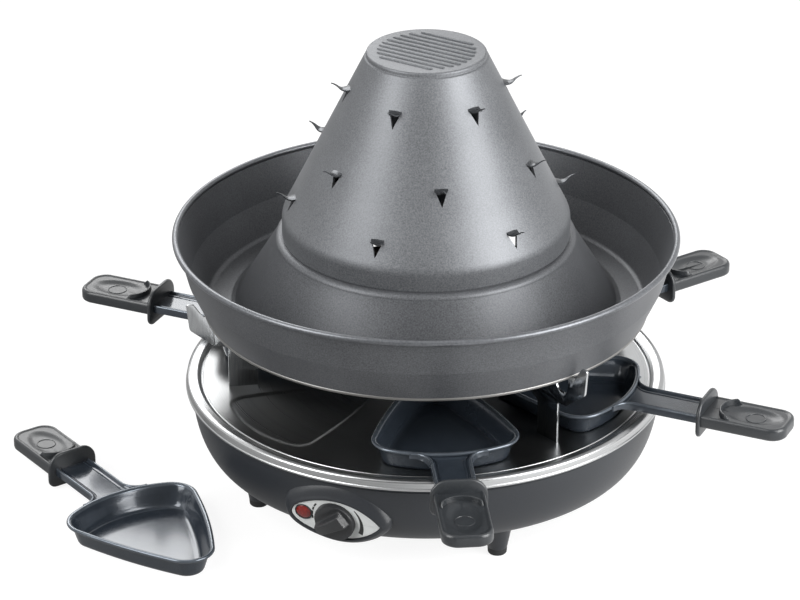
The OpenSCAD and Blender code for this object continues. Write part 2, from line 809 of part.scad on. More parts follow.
// Side view of a hook: out from the cone with a turned-up tip
module hook_side() {
    polygon([[-hook_root, 0], [hook_bend_l, 0], [hook_dip_l, -hook_dip], [hook_l, hook_rise],
        [hook_l, hook_rise + hook_tip_t], [hook_dip_l, hook_t - hook_dip], [hook_bend_l, hook_t],
        [-hook_root, hook_t]]);
}
module hook() {
    intersection() {
        translate([0, hook_w / 2, 0]) rotate([90, 0, 0]) linear_extrude(hook_w) hook_side();
        translate([0, 0, -hook_l]) linear_extrude(2 * hook_l)
            polygon([[-hat_t, -hook_w / 2], [hook_neck, -hook_w / 2], [hook_l, -hook_tip_w / 2],
                [hook_l, hook_tip_w / 2], [hook_neck, hook_w / 2], [-hat_t, hook_w / 2]]);
    }
}
module hook_window() {
    rotate([0, -hat_slope, 0]) rotate([90, 0, 90]) linear_extrude(4 * hat_t, center = true)
        polygon([[-hook_w / 2, 0], [hook_w / 2, 0], [0, -hook_l]]);
}
// Section of the hat's sheet from its collar to its closed top
module hat_section() {
    collar_z = ledge_z + hat_collar_h;
    thick = hat_t / cos(hat_slope);
    inset = hat_top_round * tan((90 - hat_slope) / 2);
    round_mid = [hat_top_r - inset, hat_top_z - hat_top_round];
    polygon(concat(
        [[hat_collar_r - hat_t, ledge_z], [hat_collar_r - hat_hem / 2, ledge_z],
            [hat_collar_r, ledge_z + hat_hem], [hat_collar_r, collar_z]],
        arc(round_mid, hat_top_round, hat_slope, 90, 5),
        [[0, hat_top_z], [0, hat_top_z - hat_t]],
        arc(round_mid, hat_top_round - hat_t, 90, hat_slope, 4),
        [[hat_collar_r - thick, collar_z]]
    ));
}
module hat() {
    color("#8f9194") {
        difference() {
            rotate_extrude() hat_section();
            at_hooks() hook_window();
        }
        at_hooks() hook();
        rotate([0, 0, rib_az]) for (i = [0:rib_count - 1]) {
            y = (i - (rib_count - 1) / 2) * rib_pitch;
            half = sqrt(max(1, rib_field_r * rib_field_r - y * y));
            translate([-half, y - rib_w / 2, hat_top_z - hat_t / 2])
                cube([2 * half, rib_w, hat_t / 2 + rib_h]);
        }
    }
}

// Pan rings, outset and height, from the foot up the outside, over the rim and down to the floor
pan_rings = [
    [-pan_foot_inset, 0], [pan_foot_out - pan_foot_inset, pan_foot_round],
    [pan_wall_out - pan_foot_inset, pan_wall_z], [-pan_rim_w, pan_h - pan_rim_h - pan_rim_round / 2],
    [0, pan_h - pan_rim_h], [0, pan_h - pan_rim_round], [-pan_rim_round, pan_h], [-pan_rim_w, pan_h],
    [-pan_rim_w - pan_t, pan_h - pan_rim_h], [pan_wall_out - pan_foot_inset - pan_t, pan_wall_z],
    [pan_foot_out - pan_foot_inset - pan_t, pan_t + pan_rim_round], [-pan_foot_inset - pan_t, pan_t]
];
module pan_dish() {
    n = len(pan_outline(0));
    polyhedron(
        [for (ring = pan_rings) each [for (p = pan_outline(ring[0])) [p.x, p.y, ring[1]]]],
        ring_faces(len(pan_rings), n)
    );
}
// Outline of the neck with its curved flares into the rim
module neck_outline(inset) {
    half = neck_w / 2 - inset;
    r = neck_fillet + inset;
    fillet_x = neck_root_r + neck_fillet;
    polygon(concat(
        [[neck_root_r - inset, half + r]],
        arc([fillet_x, half + r], r, 180 + asin(min(1, inset / r)), 270, 6),
        [[guard_x, half], [guard_x, -half]],
        arc([fillet_x, -half - r], r, 90, 180 - asin(min(1, inset / r)), 6),
        [[neck_root_r - inset, -half - r]]
    ));
}
module raclette_pan() {
    color("#3a3f45") {
        pan_dish();
        difference() {
            translate([0, 0, neck_z - flange_h / 2]) linear_extrude(flange_h) neck_outline(0);
            translate([0, 0, neck_z + neck_plate_t]) linear_extrude(flange_h) neck_outline(flange_t);
            translate([0, 0, neck_z - flange_h]) linear_extrude(flange_h) neck_outline(flange_t);
        }
        translate([guard_x - cut, -tongue_w / 2, neck_z]) cube([tongue_l + cut, tongue_w, neck_plate_t]);
    }
}
// Outline of the grip: straight sides and rounded far corners
module grip_outline() {
    end_x = guard_x + guard_t + grip_l;
    translate([guard_x + guard_t / 2, -grip_w / 2]) square([grip_l + guard_t / 2 - grip_round, grip_w]);
    translate([end_x - 2 * grip_round, grip_round - grip_w / 2])
        square([2 * grip_round, grip_w - 2 * grip_round]);
    for (side = [-1, 1])
        translate([end_x - grip_round, side * (grip_w / 2 - grip_round)]) circle(grip_round);
}
// Outline of the guard: arched above, rounded below
module guard_outline() {
    up_r = guard_up_round;
    down_r = guard_down_round;
    translate([-guard_w / 2, -guard_down + down_r]) square([guard_w, guard_down - down_r + guard_up - up_r]);
    translate([-guard_w / 2 + up_r, 0]) square([guard_w - 2 * up_r, guard_up]);
    translate([-guard_w / 2 + down_r, -guard_down]) square([guard_w - 2 * down_r, guard_down]);
    for (side = [-1, 1]) {
        translate([side * (guard_w / 2 - up_r), guard_up - up_r]) circle(up_r);
        translate([side * (guard_w / 2 - down_r), down_r - guard_down]) circle(down_r);
    }
}
module pan_grip() {
    grip_mid_z = neck_z + neck_plate_t / 2;
    color("#45484b") difference() {
        union() {
            translate([0, 0, grip_z]) linear_extrude(grip_t) grip_outline();
            translate([guard_x, 0, grip_mid_z]) rotate([90, 0, 90]) linear_extrude(guard_t) guard_outline();
        }
        translate([guard_x - cut, -tongue_w / 2 - close, neck_z - close])
            cube([tongue_l + cut + close, tongue_w + 2 * close, neck_plate_t + 2 * close]);
        translate([guard_x + guard_t + grip_l / 2, 0, grip_z + grip_t + scoop_r - scoop_depth])
            sphere(scoop_r);
    }
}
module in_place(i) {
    rotate([0, 0, pan_az(i)]) translate([0, 0, pan_seat_z]) children();
}
module lying_loose() {
    translate(loose_at) rotate([0, 0, loose_az]) children();
}

base_housing();
bottom_cover();
cover_screws();
feet();
foot_pads();
steel_tray();
heat_shield();
tray_spacers();
tray_screws();
bracket(bracket_gaps[0]);  // bracket_right
bracket(bracket_gaps[1]);  // bracket_rear
bracket(bracket_gaps[2]);  // bracket_left
heating_element();
heater_bushes();
heater_terminals();
terminal_block();
thermal_fuse();
thermostat();
thermostat_shaft();
live_wire();
switched_wire();
neutral_wire();
lamp_wire();
control_plate();
control_knob();
lamp_lens();
lamp_body();
cord_inlet();
broth_pan();
hat();
in_place(0) raclette_pan();  // raclette_pan_front
in_place(1) raclette_pan();  // raclette_pan_right
in_place(2) raclette_pan();  // raclette_pan_right_rear
in_place(3) raclette_pan();  // raclette_pan_rear
in_place(4) raclette_pan();  // raclette_pan_left_rear
lying_loose() raclette_pan();  // raclette_pan_loose
in_place(0) pan_grip();  // pan_grip_front
in_place(1) pan_grip();  // pan_grip_right
in_place(2) pan_grip();  // pan_grip_right_rear
in_place(3) pan_grip();  // pan_grip_rear
in_place(4) pan_grip();  // pan_grip_left_rear
lying_loose() pan_grip();  // pan_grip_loose
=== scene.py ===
"""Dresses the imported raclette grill: finished pieces, materials, studio light and camera.

Sizes are in millimetres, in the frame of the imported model: +Z up, the table at zero and the
front towards -Y. Meshes are scaled to metres when they become Blender objects.
"""
from __future__ import annotations

import logging
import math
from dataclasses import dataclass, field
from enum import Enum
from typing import Callable, Sequence

import bmesh
import bpy
from mathutils import Matrix, Vector

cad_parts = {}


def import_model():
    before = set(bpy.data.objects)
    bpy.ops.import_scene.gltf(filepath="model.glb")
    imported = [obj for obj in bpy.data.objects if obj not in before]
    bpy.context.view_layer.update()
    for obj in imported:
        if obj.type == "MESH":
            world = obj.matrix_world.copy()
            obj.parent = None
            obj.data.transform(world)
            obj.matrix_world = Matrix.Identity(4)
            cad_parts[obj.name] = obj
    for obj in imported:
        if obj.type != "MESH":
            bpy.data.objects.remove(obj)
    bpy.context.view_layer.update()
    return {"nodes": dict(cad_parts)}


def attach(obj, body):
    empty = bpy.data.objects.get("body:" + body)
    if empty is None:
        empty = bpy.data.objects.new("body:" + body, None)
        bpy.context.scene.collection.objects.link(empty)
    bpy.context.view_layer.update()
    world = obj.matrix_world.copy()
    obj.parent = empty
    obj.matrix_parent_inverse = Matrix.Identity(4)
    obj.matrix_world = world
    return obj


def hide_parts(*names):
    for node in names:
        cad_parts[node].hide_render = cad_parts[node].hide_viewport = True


LOG = logging.getLogger("raclette")
MM = 0.001
TURN = 2 * math.pi
# Angle in degrees over which an edge stays sharp, where a piece gives no other.
SHARP = 35.0
Point2 = tuple[float, float]
Point3 = tuple[float, float, float]


class Body(str, Enum):
    """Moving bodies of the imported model."""

    BASE = "base"
    BROTH = "broth_pan"
    HAT = "hat"
    KNOB = "knob"


class Place(Enum):
    """Where each raclette pan is: its name and its direction, or none for the loose one."""

    FRONT = ("front", -84.0)
    RIGHT = ("right", -24.0)
    RIGHT_REAR = ("right_rear", 36.0)
    REAR = ("rear", 96.0)
    LEFT_REAR = ("left_rear", 156.0)
    LOOSE = ("loose", None)

    @property
    def label(self) -> str:
        """Name of the place."""
        return self.value[0]

    @property
    def turn(self) -> float | None:
        """Direction in degrees from the grill's axis, or none for the loose pan."""
        return self.value[1]


# Meshes


@dataclass
class Shape:
    """Points in millimetres and the faces between them."""

    points: list[Point3] = field(default_factory=list)
    faces: list[tuple[int, ...]] = field(default_factory=list)

    def add(self, other: Shape) -> Shape:
        """Joins another shape to this one.

        Args:
            other: The shape whose points and faces are added.

        Returns:
            This shape.
        """
        start = len(self.points)
        self.points.extend(other.points)
        self.faces.extend(tuple(i + start for i in face) for face in other.faces)
        return self

    def moved(self, place: Matrix) -> Shape:
        """Copies the shape to another place.

        Args:
            place: Matrix in millimetres.

        Returns:
            The copy.
        """
        return Shape([tuple(place @ Vector(p)) for p in self.points], list(self.faces))


def loft(rings: Sequence[Sequence[Point3]], caps: bool = True, around: bool = True) -> Shape:
    """Skins a stack of rings that have the same number of points.

    Args:
        rings: The rings, in order.
        caps: Whether the first and the last ring are closed.
        around: Whether each ring is a closed loop.

    Returns:
        The skin.
    """
    n = len(rings[0])
    shape = Shape([p for ring in rings for p in ring])
    for k in range(len(rings) - 1):
        for i in range(n if around else n - 1):
            j = (i + 1) % n
            shape.faces.append((k * n + i, k * n + j, (k + 1) * n + j, (k + 1) * n + i))
    if caps:
        shape.faces.append(tuple(range(n - 1, -1, -1)))
        shape.faces.append(tuple(range((len(rings) - 1) * n, len(rings) * n)))
    return shape


def circle(r: float, z: float, steps: int) -> list[Point3]:
    """Points of a level circle about the vertical axis."""
    turns = [TURN * i / steps for i in range(steps)]
    return [(r * math.cos(a), r * math.sin(a), z) for a in turns]


def revolve(profile: Sequence[Point2], steps: int, closed: bool = True) -> Shape:
    """Turns a profile of radius and height about the vertical axis.

    Args:
        profile: Points of the section.
        steps: Number of steps round the axis.
        closed: Whether the section is a closed loop.

    Returns:
        The turned shape.
    """
    rings = [circle(r, z, steps) for r, z in profile]
    if closed:
        rings.append(rings[0])
    return loft(rings, caps=False)


def layers(outline: Callable[[float], list[Point2]], stations: Sequence[Point2]) -> list[list[Point3]]:
    """Stacks offsets of one outline into rings.

    Args:
        outline: Gives the outline's points at a distance outwards.
        stations: Distance outwards and height of each ring.

    Returns:
        The rings.
    """
    return [[(x, y, z) for x, y in outline(grow)] for grow, z in stations]


def about_z(angle: float) -> Matrix:
    """Turn about the vertical axis by an angle in degrees."""
    return Matrix.Rotation(math.radians(angle), 4, "Z")


def toward(angle: float) -> Vector:
    """Unit vector at an angle in degrees."""
    return Vector((math.cos(math.radians(angle)), math.sin(math.radians(angle))))


def rounded(corners: Sequence[Point3], closed: bool = True, steps: int = 5) -> list[Point2]:
    """Rounds the corners of an outline.

    Args:
        corners: Each corner's two coordinates and its radius.
        closed: Whether the outline is a closed loop.
        steps: Number of steps in each rounded corner.

    Returns:
        The outline's points.
    """
    count = len(corners)
    points: list[Point2] = []
    for i, (x, y, r) in enumerate(corners):
        ends = not closed and i in (0, count - 1)
        if r <= 0 or ends:
            points.append((x, y))
            continue
        here = Vector((x, y))
        back = Vector(corners[i - 1][:2]) - here
        on = Vector(corners[(i + 1) % count][:2]) - here
        half = back.angle(on) / 2
        reach = min(r / math.tan(half), 0.49 * back.length, 0.49 * on.length)
        radius = reach * math.tan(half)
        back.normalize()
        on.normalize()
        middle = here + (back + on).normalized() * radius / math.sin(half)
        first = here + back * reach - middle
        sweep = first.angle_signed(here + on * reach - middle)
        for k in range(steps + 1):
            p = middle + Matrix.Rotation(-sweep * k / steps, 2) @ first
            points.append((p.x, p.y))
    return points


def arc(middle: Point2, r: float, start: float, end: float, steps: int) -> list[Point2]:
    """Points of an arc, with its angles in degrees.

    Args:
        middle: The arc's centre.
        r: Its radius.
        start: First angle.
        end: Last angle.
        steps: Number of steps between them.

    Returns:
        The points.
    """
    turns = [math.radians(start + (end - start) * i / steps) for i in range(steps + 1)]
    return [(middle[0] + r * math.cos(a), middle[1] + r * math.sin(a)) for a in turns]


def ease(x: float) -> float:
    """Smooth step from 0 to 1."""
    x = min(1.0, max(0.0, x))
    return x * x * (3 - 2 * x)


def in_scene(name: str, data: bpy.types.ID) -> bpy.types.Object:
    """Makes an object from its data and links it to the scene.

    Args:
        name: The object's name.
        data: Its mesh, light or camera.

    Returns:
        The object.
    """
    made = bpy.data.objects.new(name, data)
    bpy.context.scene.collection.objects.link(made)
    return made


def mesh_object(name: str, shape: Shape, sharp: float = SHARP) -> bpy.types.Object:
    """Makes an object in metres with merged points and smooth faces.

    Args:
        name: The object's name.
        shape: Its shape in millimetres.
        sharp: Angle in degrees over which an edge stays sharp.

    Returns:
        The object, in the scene.
    """
    mesh = bpy.data.meshes.new(name)
    mesh.from_pydata([tuple(c * MM for c in p) for p in shape.points], [], shape.faces)
    work = bmesh.new()
    work.from_mesh(mesh)
    bmesh.ops.remove_doubles(work, verts=work.verts, dist=1e-6)
    bmesh.ops.recalc_face_normals(work, faces=work.faces)
    work.to_mesh(mesh)
    work.free()
    soften(mesh, sharp)
    return in_scene(name, mesh)


def soften(mesh: bpy.types.Mesh, sharp: float) -> None:
    """Shades a mesh smooth, apart from edges sharper than an angle in degrees."""
    mesh.shade_smooth()
    mesh.set_sharp_from_angle(angle=math.radians(sharp))


def settle(piece: bpy.types.Object, sharp: float = SHARP) -> None:
    """Turns a piece's modifiers into a plain mesh.

    Args:
        piece: The object.
        sharp: Angle in degrees over which an edge stays sharp.
    """
    graph = bpy.context.evaluated_depsgraph_get()
    mesh = bpy.data.meshes.new_from_object(piece.evaluated_get(graph))
    piece.modifiers.clear()
    piece.data = mesh
    soften(mesh, sharp)


# Materials


def linear(colour: str) -> tuple[float, float, float, float]:
    """Turns an sRGB hex colour into linear values."""
    parts = [int(colour[i:i + 2], 16) / 255 for i in (1, 3, 5)]
    return (*(c / 12.92 if c <= 0.04045 else ((c + 0.055) / 1.055) ** 2.4 for c in parts), 1.0)


def add_node(tree: bpy.types.NodeTree, kind: str, settings: dict | None = None,
             links: dict | None = None) -> bpy.types.Node:
    """Adds a node, sets it up and links its inputs.

    Args:
        tree: The node tree.
        kind: The node's type name.
        settings: Attribute or input name to value.
        links: Input name or index to the socket that feeds it.

    Returns:
        The node.
    """
    node = tree.nodes.new(kind)
    for key, value in (settings or {}).items():
        if isinstance(key, str) and hasattr(node, key):
            setattr(node, key, value)
        else:
            node.inputs[key].default_value = value
    for key, socket in (links or {}).items():
        tree.links.new(socket, node.inputs[key])
    return node


def per_metre(size_mm: float) -> float:
    """Scale of a pattern on Object coordinates whose grain has a size in millimetres."""
    return 1000 / size_mm


# The noise values over which colour and gloss change, and the grain's share of the colour.
COLOUR_SPAN = (0.32, 0.68)
GLOSS_SPAN = (0.3, 0.7)
GRAIN_SHARE = 0.7
# Height of a finish's relief at full strength.
RELIEF_MM = 0.1


@dataclass(frozen=True)
class Finish:
    """A surface that all the finishes share: two near colours, grain, gloss and bump."""

    name: str
    dark: str
    light: str
    grain_mm: float
    metallic: float
    rough: tuple[float, float]
    bump: float = 0.1
    stretch: Point3 = (1.0, 1.0, 1.0)
    coat: float = 0.0
    coat_rough: float = 0.12
    specular: float = 0.5
    cloud_mm: float = 60.0

    def material(self) -> bpy.types.Material:
        """Makes the material, or finds it if it exists.

        Returns:
            The material.
        """
        known = bpy.data.materials.get(self.name)
        if known:
            return known
        made = bpy.data.materials.new(self.name)
        made.use_nodes = True
        tree = made.node_tree
        shader = tree.nodes["Principled BSDF"]
        shader.inputs["Metallic"].default_value = self.metallic
        shader.inputs["Specular IOR Level"].default_value = self.specular
        shader.inputs["Coat Weight"].default_value = self.coat
        shader.inputs["Coat Roughness"].default_value = self.coat_rough
        self.paint(tree, shader)
        return made

    def grain(self, tree: bpy.types.NodeTree) -> bpy.types.NodeSocket:
        """Adds the fine pattern.

        Args:
            tree: The material's tree.

        Returns:
            The socket with the pattern's value, from 0 to 1.
        """
        place = add_node(tree, "ShaderNodeTexCoord")
        spread = add_node(tree, "ShaderNodeMapping", {"Scale": self.stretch},
                          {"Vector": place.outputs["Object"]})
        noise = add_node(tree, "ShaderNodeTexNoise", {"Scale": per_metre(self.grain_mm), "Detail": 3.0},
                         {"Vector": spread.outputs[0]})
        return noise.outputs["Fac"]

    def paint(self, tree: bpy.types.NodeTree, shader: bpy.types.Node) -> None:
        """Links colour, roughness and bump to the shader.

        Args:
            tree: The material's tree.
            shader: Its principled shader.
        """
        grain = self.grain(tree)
        place = add_node(tree, "ShaderNodeTexCoord")
        cloud = add_node(tree, "ShaderNodeTexNoise", {"Scale": per_metre(self.cloud_mm), "Detail": 2.0},
                         {"Vector": place.outputs["Object"]})
        clouds = add_node(tree, "ShaderNodeMath", {"operation": "MULTIPLY", 1: 1 - GRAIN_SHARE},
                          {0: cloud.outputs["Fac"]})
        blend = add_node(tree, "ShaderNodeMath", {"operation": "MULTIPLY_ADD", 1: GRAIN_SHARE},
                         {0: grain, 2: clouds.outputs[0]})
        ramp = add_node(tree, "ShaderNodeValToRGB", links={"Fac": blend.outputs[0]})
        stops = zip(ramp.color_ramp.elements, COLOUR_SPAN, (self.dark, self.light))
        for stop, position, colour in stops:
            stop.position = position
            stop.color = linear(colour)
        gloss = add_node(tree, "ShaderNodeMapRange",
                         {"From Min": GLOSS_SPAN[0], "From Max": GLOSS_SPAN[1],
                          "To Min": self.rough[0], "To Max": self.rough[1]}, {"Value": grain})
        relief = add_node(tree, "ShaderNodeBump", {"Strength": self.bump, "Distance": RELIEF_MM * MM},
                          {"Height": grain})
        tree.links.new(ramp.outputs["Color"], shader.inputs["Base Color"])
        tree.links.new(gloss.outputs["Result"], shader.inputs["Roughness"])
        tree.links.new(relief.outputs["Normal"], shader.inputs["Normal"])


@dataclass(frozen=True)
class TurnedFinish(Finish):
    """A metal that was polished while it turned, so its fine lines run round the axis."""

    def grain(self, tree: bpy.types.NodeTree) -> bpy.types.NodeSocket:
        """Adds fine rings about the vertical axis.

        Args:
            tree: The material's tree.

        Returns:
            The socket with the pattern's value, from 0 to 1.
        """
        place = add_node(tree, "ShaderNodeTexCoord")
        flat = add_node(tree, "ShaderNodeVectorMath", {"operation": "MULTIPLY", 1: (1, 1, 0)},
                        {0: place.outputs["Object"]})
        out = add_node(tree, "ShaderNodeVectorMath", {"operation": "LENGTH"}, {0: flat.outputs[0]})
        apart = add_node(tree, "ShaderNodeSeparateXYZ", links={0: place.outputs["Object"]})
        line = add_node(tree, "ShaderNodeCombineXYZ",
                        links={"X": out.outputs["Value"], "Y": apart.outputs["Z"]})
        noise = add_node(tree, "ShaderNodeTexNoise", {"Scale": per_metre(self.grain_mm), "Detail": 4.0},
                         {"Vector": line.outputs[0]})
        return noise.outputs["Fac"]


# Grey non-stick coating with metal flake on cast aluminium: broad soft sheen and a fine sparkle.
# The flake is about 0.1 mm and is drawn at 0.9 mm so that it shows.
GREY_COATING = Finish("Grey flake non-stick on cast aluminium", "#545659", "#7c7e81", 0.9, 0.5,
                      (0.42, 0.54), bump=0.25)
# The broth pan's coat is the same spray as the hat's, painted a shade darker: painted shade for its
# down-facing walls.
BROTH_SHADED_COATING = Finish("Grey flake non-stick with painted shade", "#4c4d50", "#6e7073", 0.9, 0.5, (0.42, 0.54), bump=0.25)
# The same coating drawn over a rolled bead, which smooths it; its paler colour is a painted highlight along
# the rim.
RIM_HIGHLIGHT_COATING = Finish("Smooth coating on a rolled rim", "#5c5e61", "#74767a", 1.5, 0.6, (0.3, 0.38), bump=0.02)
# Tongues pressed out of the coated sheet, glossier than it and painted darker: painted shade for the dark
# reflection on their tops.
HOOK_STEEL = Finish("Pressed coated steel tongues", "#3c3e41", "#56585b", 1.2, 0.8, (0.25, 0.36), bump=0.1)
# Dark blue-grey non-stick on pressed steel: smooth with a wet-looking sheen.
PAN_COATING = Finish("Dark non-stick on pressed steel", "#2f363e", "#383f48", 8.0, 0.3, (0.19, 0.22),
                     bump=0.0, coat=0.42, coat_rough=0.1)
# The pans' rolled edge, painted paler than the pan: a painted highlight that draws a crisp line of light.
PAN_EDGE_HIGHLIGHT = Finish("Rolled edge coat with painted highlight", "#4c535b", "#5c636b", 8.0, 0.5, (0.18, 0.22),
                  bump=0.0, coat=0.3)
# Black polypropylene housing from a lightly eroded mould: even satin.
BASE_PLASTIC = Finish("Black moulded polypropylene", "#222529", "#2a2d32", 0.8, 0.0, (0.38, 0.46), bump=0.08)
# Charcoal phenolic grips: satin with a faint grain.
GRIP_PLASTIC = Finish("Charcoal moulded phenolic", "#25282b", "#303336", 1.0, 0.0, (0.3, 0.38),
                      bump=0.05, specular=0.6)
# Black ABS knob: finer and a little glossier than the housing.
KNOB_PLASTIC = Finish("Black moulded ABS", "#27282a", "#303133", 0.7, 0.0, (0.3, 0.38), bump=0.04)
# Stainless tray, polished on a lathe: a soft mirror with fine rings, painted darker than bare stainless, a
# painted shade that damps its reflections.
TRAY_STEEL = TurnedFinish("Turned polished stainless steel", "#848586", "#949595", 0.5, 1.0, (0.27, 0.31),
                          bump=0.01)
# The rolled ring of the same sheet, brushed as it turned: softer than the tray inside it, and painted
# brighter than it, a painted highlight on the ring.
RING_STEEL = TurnedFinish("Brushed stainless ring", "#a6a7a8", "#bebfbf", 0.5, 1.0, (0.25, 0.35), bump=0.04)
# Stamped stainless brackets: bright with short rolling lines.
BRACKET_STEEL = Finish("Rolled stainless sheet", "#aaacae", "#c6c8c9", 1.5, 1.0, (0.13, 0.2), bump=0.01,
                       stretch=(1.0, 1.0, 0.12))
# Zinc plated fasteners and shaft: bright grey and slightly cloudy.
PLATED_STEEL = Finish("Zinc plated steel", "#9a9c9e", "#b9bbbc", 2.0, 1.0, (0.28, 0.42), bump=0.05)
# Heater sheath, oxidised by heat: dark and dull.
HEATER_SHEATH = Finish("Oxidised heater sheath", "#2e2b29", "#4a4642", 3.0, 0.7, (0.45, 0.6), bump=0.2)
# Fired steatite bushes and blocks: matt off-white.
STEATITE = Finish("Fired steatite", "#cfcabd", "#e2ded3", 1.5, 0.0, (0.5, 0.65), bump=0.15)
# Heat-resistant phenolic of the switch bodies: brown and dull.
SWITCH_PLASTIC = Finish("Brown phenolic", "#6a5540", "#806850", 1.2, 0.0, (0.4, 0.55))
# Moulded rubber of the pads and the cord grommet: black and matt.
RUBBER = Finish("Black moulded rubber", "#1d1e1f", "#262728", 0.8, 0.0, (0.6, 0.75), bump=0.2)
# Anodised aluminium plate under the print: pale and satin, drawn without metal sheen so that it stays pale
# from every side, and painted lighter than the metal: painted light that cancels the shade of the lip round
# it.
PANEL_SILVER = Finish("Silver anodised plate", "#e6e9e8", "#f0f2f1", 0.6, 0.0, (0.38, 0.5), bump=0.05)
# Screen-printed ink on the plate: black and satin.
PANEL_PRINT = Finish("Black screen print", "#1b1c1d", "#232425", 0.6, 0.0, (0.45, 0.55), bump=0.02)
# Moulded red polycarbonate over a dark lamp: deep red with a small highlight.
LAMP_RED = Finish("Red polycarbonate lens", "#6e100b", "#8e1f15", 2.5, 0.0, (0.2, 0.28), bump=0.02, coat=0.2)
# Bare edge of the broth pan's turned foot, where the coating is worn through: a thin pale line.
FOOT_EDGE = TurnedFinish("Bare turned aluminium edge", "#6d6c6a", "#868583", 0.5, 0.7, (0.3, 0.4), bump=0.05)
# Extruded silicone insulation of the inner wires: soft and matt.
BROWN_WIRE = Finish("Brown silicone insulation", "#4a2a16", "#5c3820", 1.5, 0.0, (0.45, 0.6))
BLACK_WIRE = Finish("Black silicone insulation", "#202123", "#2c2d2f", 1.5, 0.0, (0.45, 0.6))
BLUE_WIRE = Finish("Blue silicone insulation", "#24507c", "#2f6294", 1.5, 0.0, (0.45, 0.6))


def finished(piece: bpy.types.Object, finish: Finish, body: str, slot: str, *nodes: str) -> None:
    """Gives a piece its material, its body and the CAD nodes that it stands for.

    Args:
        piece: The object.
        finish: Its finish.
        body: The body that it rides on.
        slot: Not used.
        nodes: CAD nodes that it replaces.
    """
    piece.data.materials.clear()
    piece.data.materials.append(finish.material())
    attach(piece, body)
    if nodes:
        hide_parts(*nodes)
    LOG.info("%s: %d faces on %s", piece.name, len(piece.data.polygons), body)


def build_piece(name: str, shape: Shape, finish: Finish, body: str, slot: str, *nodes: str,
                sharp: float = SHARP) -> None:
    """Makes a finished piece straight from its shape.

    Args:
        name: The piece's name.
        shape: Its shape in millimetres.
        finish: Its finish.
        body: The body that it rides on.
        slot: Not used.
        nodes: CAD nodes that it replaces.
        sharp: Angle in degrees over which an edge stays sharp.
    """
    finished(mesh_object(name, shape, sharp), finish, body, slot, *nodes)


# Geometry Nodes


class NodeTool:
    """A Geometry Nodes tree with named inputs that turns one piece into a plain mesh."""

    def __init__(self, name: str, counts: Sequence[str], sizes: Sequence[str]) -> None:
        """Starts the tree.

        Args:
            name: The tree's name.
            counts: Names of the inputs that are whole numbers.
            sizes: Names of the inputs that are lengths or angles.
        """
        self.tree = bpy.data.node_groups.new(name, "GeometryNodeTree")
        face = self.tree.interface
        face.new_socket("Geometry", in_out="INPUT", socket_type="NodeSocketGeometry")
        kinds = {**dict.fromkeys(counts, "NodeSocketInt"), **dict.fromkeys(sizes, "NodeSocketFloat"),
                 "Material": "NodeSocketMaterial"}
        self.keys = {key: face.new_socket(key, in_out="INPUT", socket_type=kind).identifier
                     for key, kind in kinds.items()}
        face.new_socket("Geometry", in_out="OUTPUT", socket_type="NodeSocketGeometry")
        self.entry = add_node(self.tree, "NodeGroupInput")

    def math(self, operation: str, a: object, b: object = 0.0) -> bpy.types.NodeSocket:
        """Adds one sum.

        Args:
            operation: The operation's name.
            a: First value or socket.
            b: Second value or socket.

        Returns:
            The result's socket.
        """
        values = {0: a, 1: b}
        links = {i: v for i, v in values.items() if isinstance(v, bpy.types.NodeSocket)}
        numbers = {i: v for i, v in values.items() if i not in links}
        return add_node(self.tree, "ShaderNodeMath", {"operation": operation, **numbers}, links).outputs[0]

    def copies(self, x: bpy.types.NodeSocket, y: bpy.types.NodeSocket, angle: bpy.types.NodeSocket,
               **links: bpy.types.NodeSocket) -> None:
        """Copies the piece to a row of points, each copy turned about the vertical axis, and ends the tree.

        Args:
            x: Each point's place across.
            y: Its place in depth.
            angle: The copy's turn.
            links: Other inputs of the copying node.
        """
        size = self.entry.outputs
        spot = add_node(self.tree, "ShaderNodeCombineXYZ", links={"X": x, "Y": y, "Z": size["Height"]})
        facing = add_node(self.tree, "ShaderNodeCombineXYZ", links={"Z": angle})
        points = add_node(self.tree, "GeometryNodePoints",
                          links={"Count": size["Count"], "Position": spot.outputs[0]})
        placed = add_node(self.tree, "GeometryNodeInstanceOnPoints",
                          links={"Points": points.outputs[0], "Instance": size["Geometry"],
                                 "Rotation": facing.outputs[0], **links})
        self.end(placed.outputs[0])

    def end(self, geometry: bpy.types.NodeSocket) -> None:
        """Realizes the instances, sets the material and ends the tree.

        Args:
            geometry: The socket with the tree's result.
        """
        real = add_node(self.tree, "GeometryNodeRealizeInstances", links={0: geometry})
        dressed = add_node(self.tree, "GeometryNodeSetMaterial",
                           links={"Geometry": real.outputs[0], "Material": self.entry.outputs["Material"]})
        add_node(self.tree, "NodeGroupOutput", links={0: dressed.outputs[0]})

    def apply(self, piece: bpy.types.Object, finish: Finish, **values: float) -> None:
        """Runs the tree on a piece and keeps the result as its mesh.

        Args:
            piece: The object that the tree starts from.
            finish: The finish that the tree sets.
            values: Input name to value.
        """
        change = piece.modifiers.new(self.tree.name, "NODES")
        change.node_group = self.tree
        for key, value in values.items():
            change[self.keys[key]] = value
        change[self.keys["Material"]] = finish.material()
        settle(piece)


class RingArray(NodeTool):
    """Copies of a piece on a circle about the vertical axis, each turned to face outwards."""

    def __init__(self) -> None:
        """Builds the tree."""
        super().__init__("Ring array", ["Count"], ["Radius", "Start", "Step", "Height"])
        size = self.entry.outputs
        index = add_node(self.tree, "GeometryNodeInputIndex").outputs[0]
        angle = self.math("ADD", size["Start"], self.math("MULTIPLY", index, size["Step"]))
        x = self.math("MULTIPLY", size["Radius"], self.math("COSINE", angle))
        y = self.math("MULTIPLY", size["Radius"], self.math("SINE", angle))
        self.copies(x, y, angle)


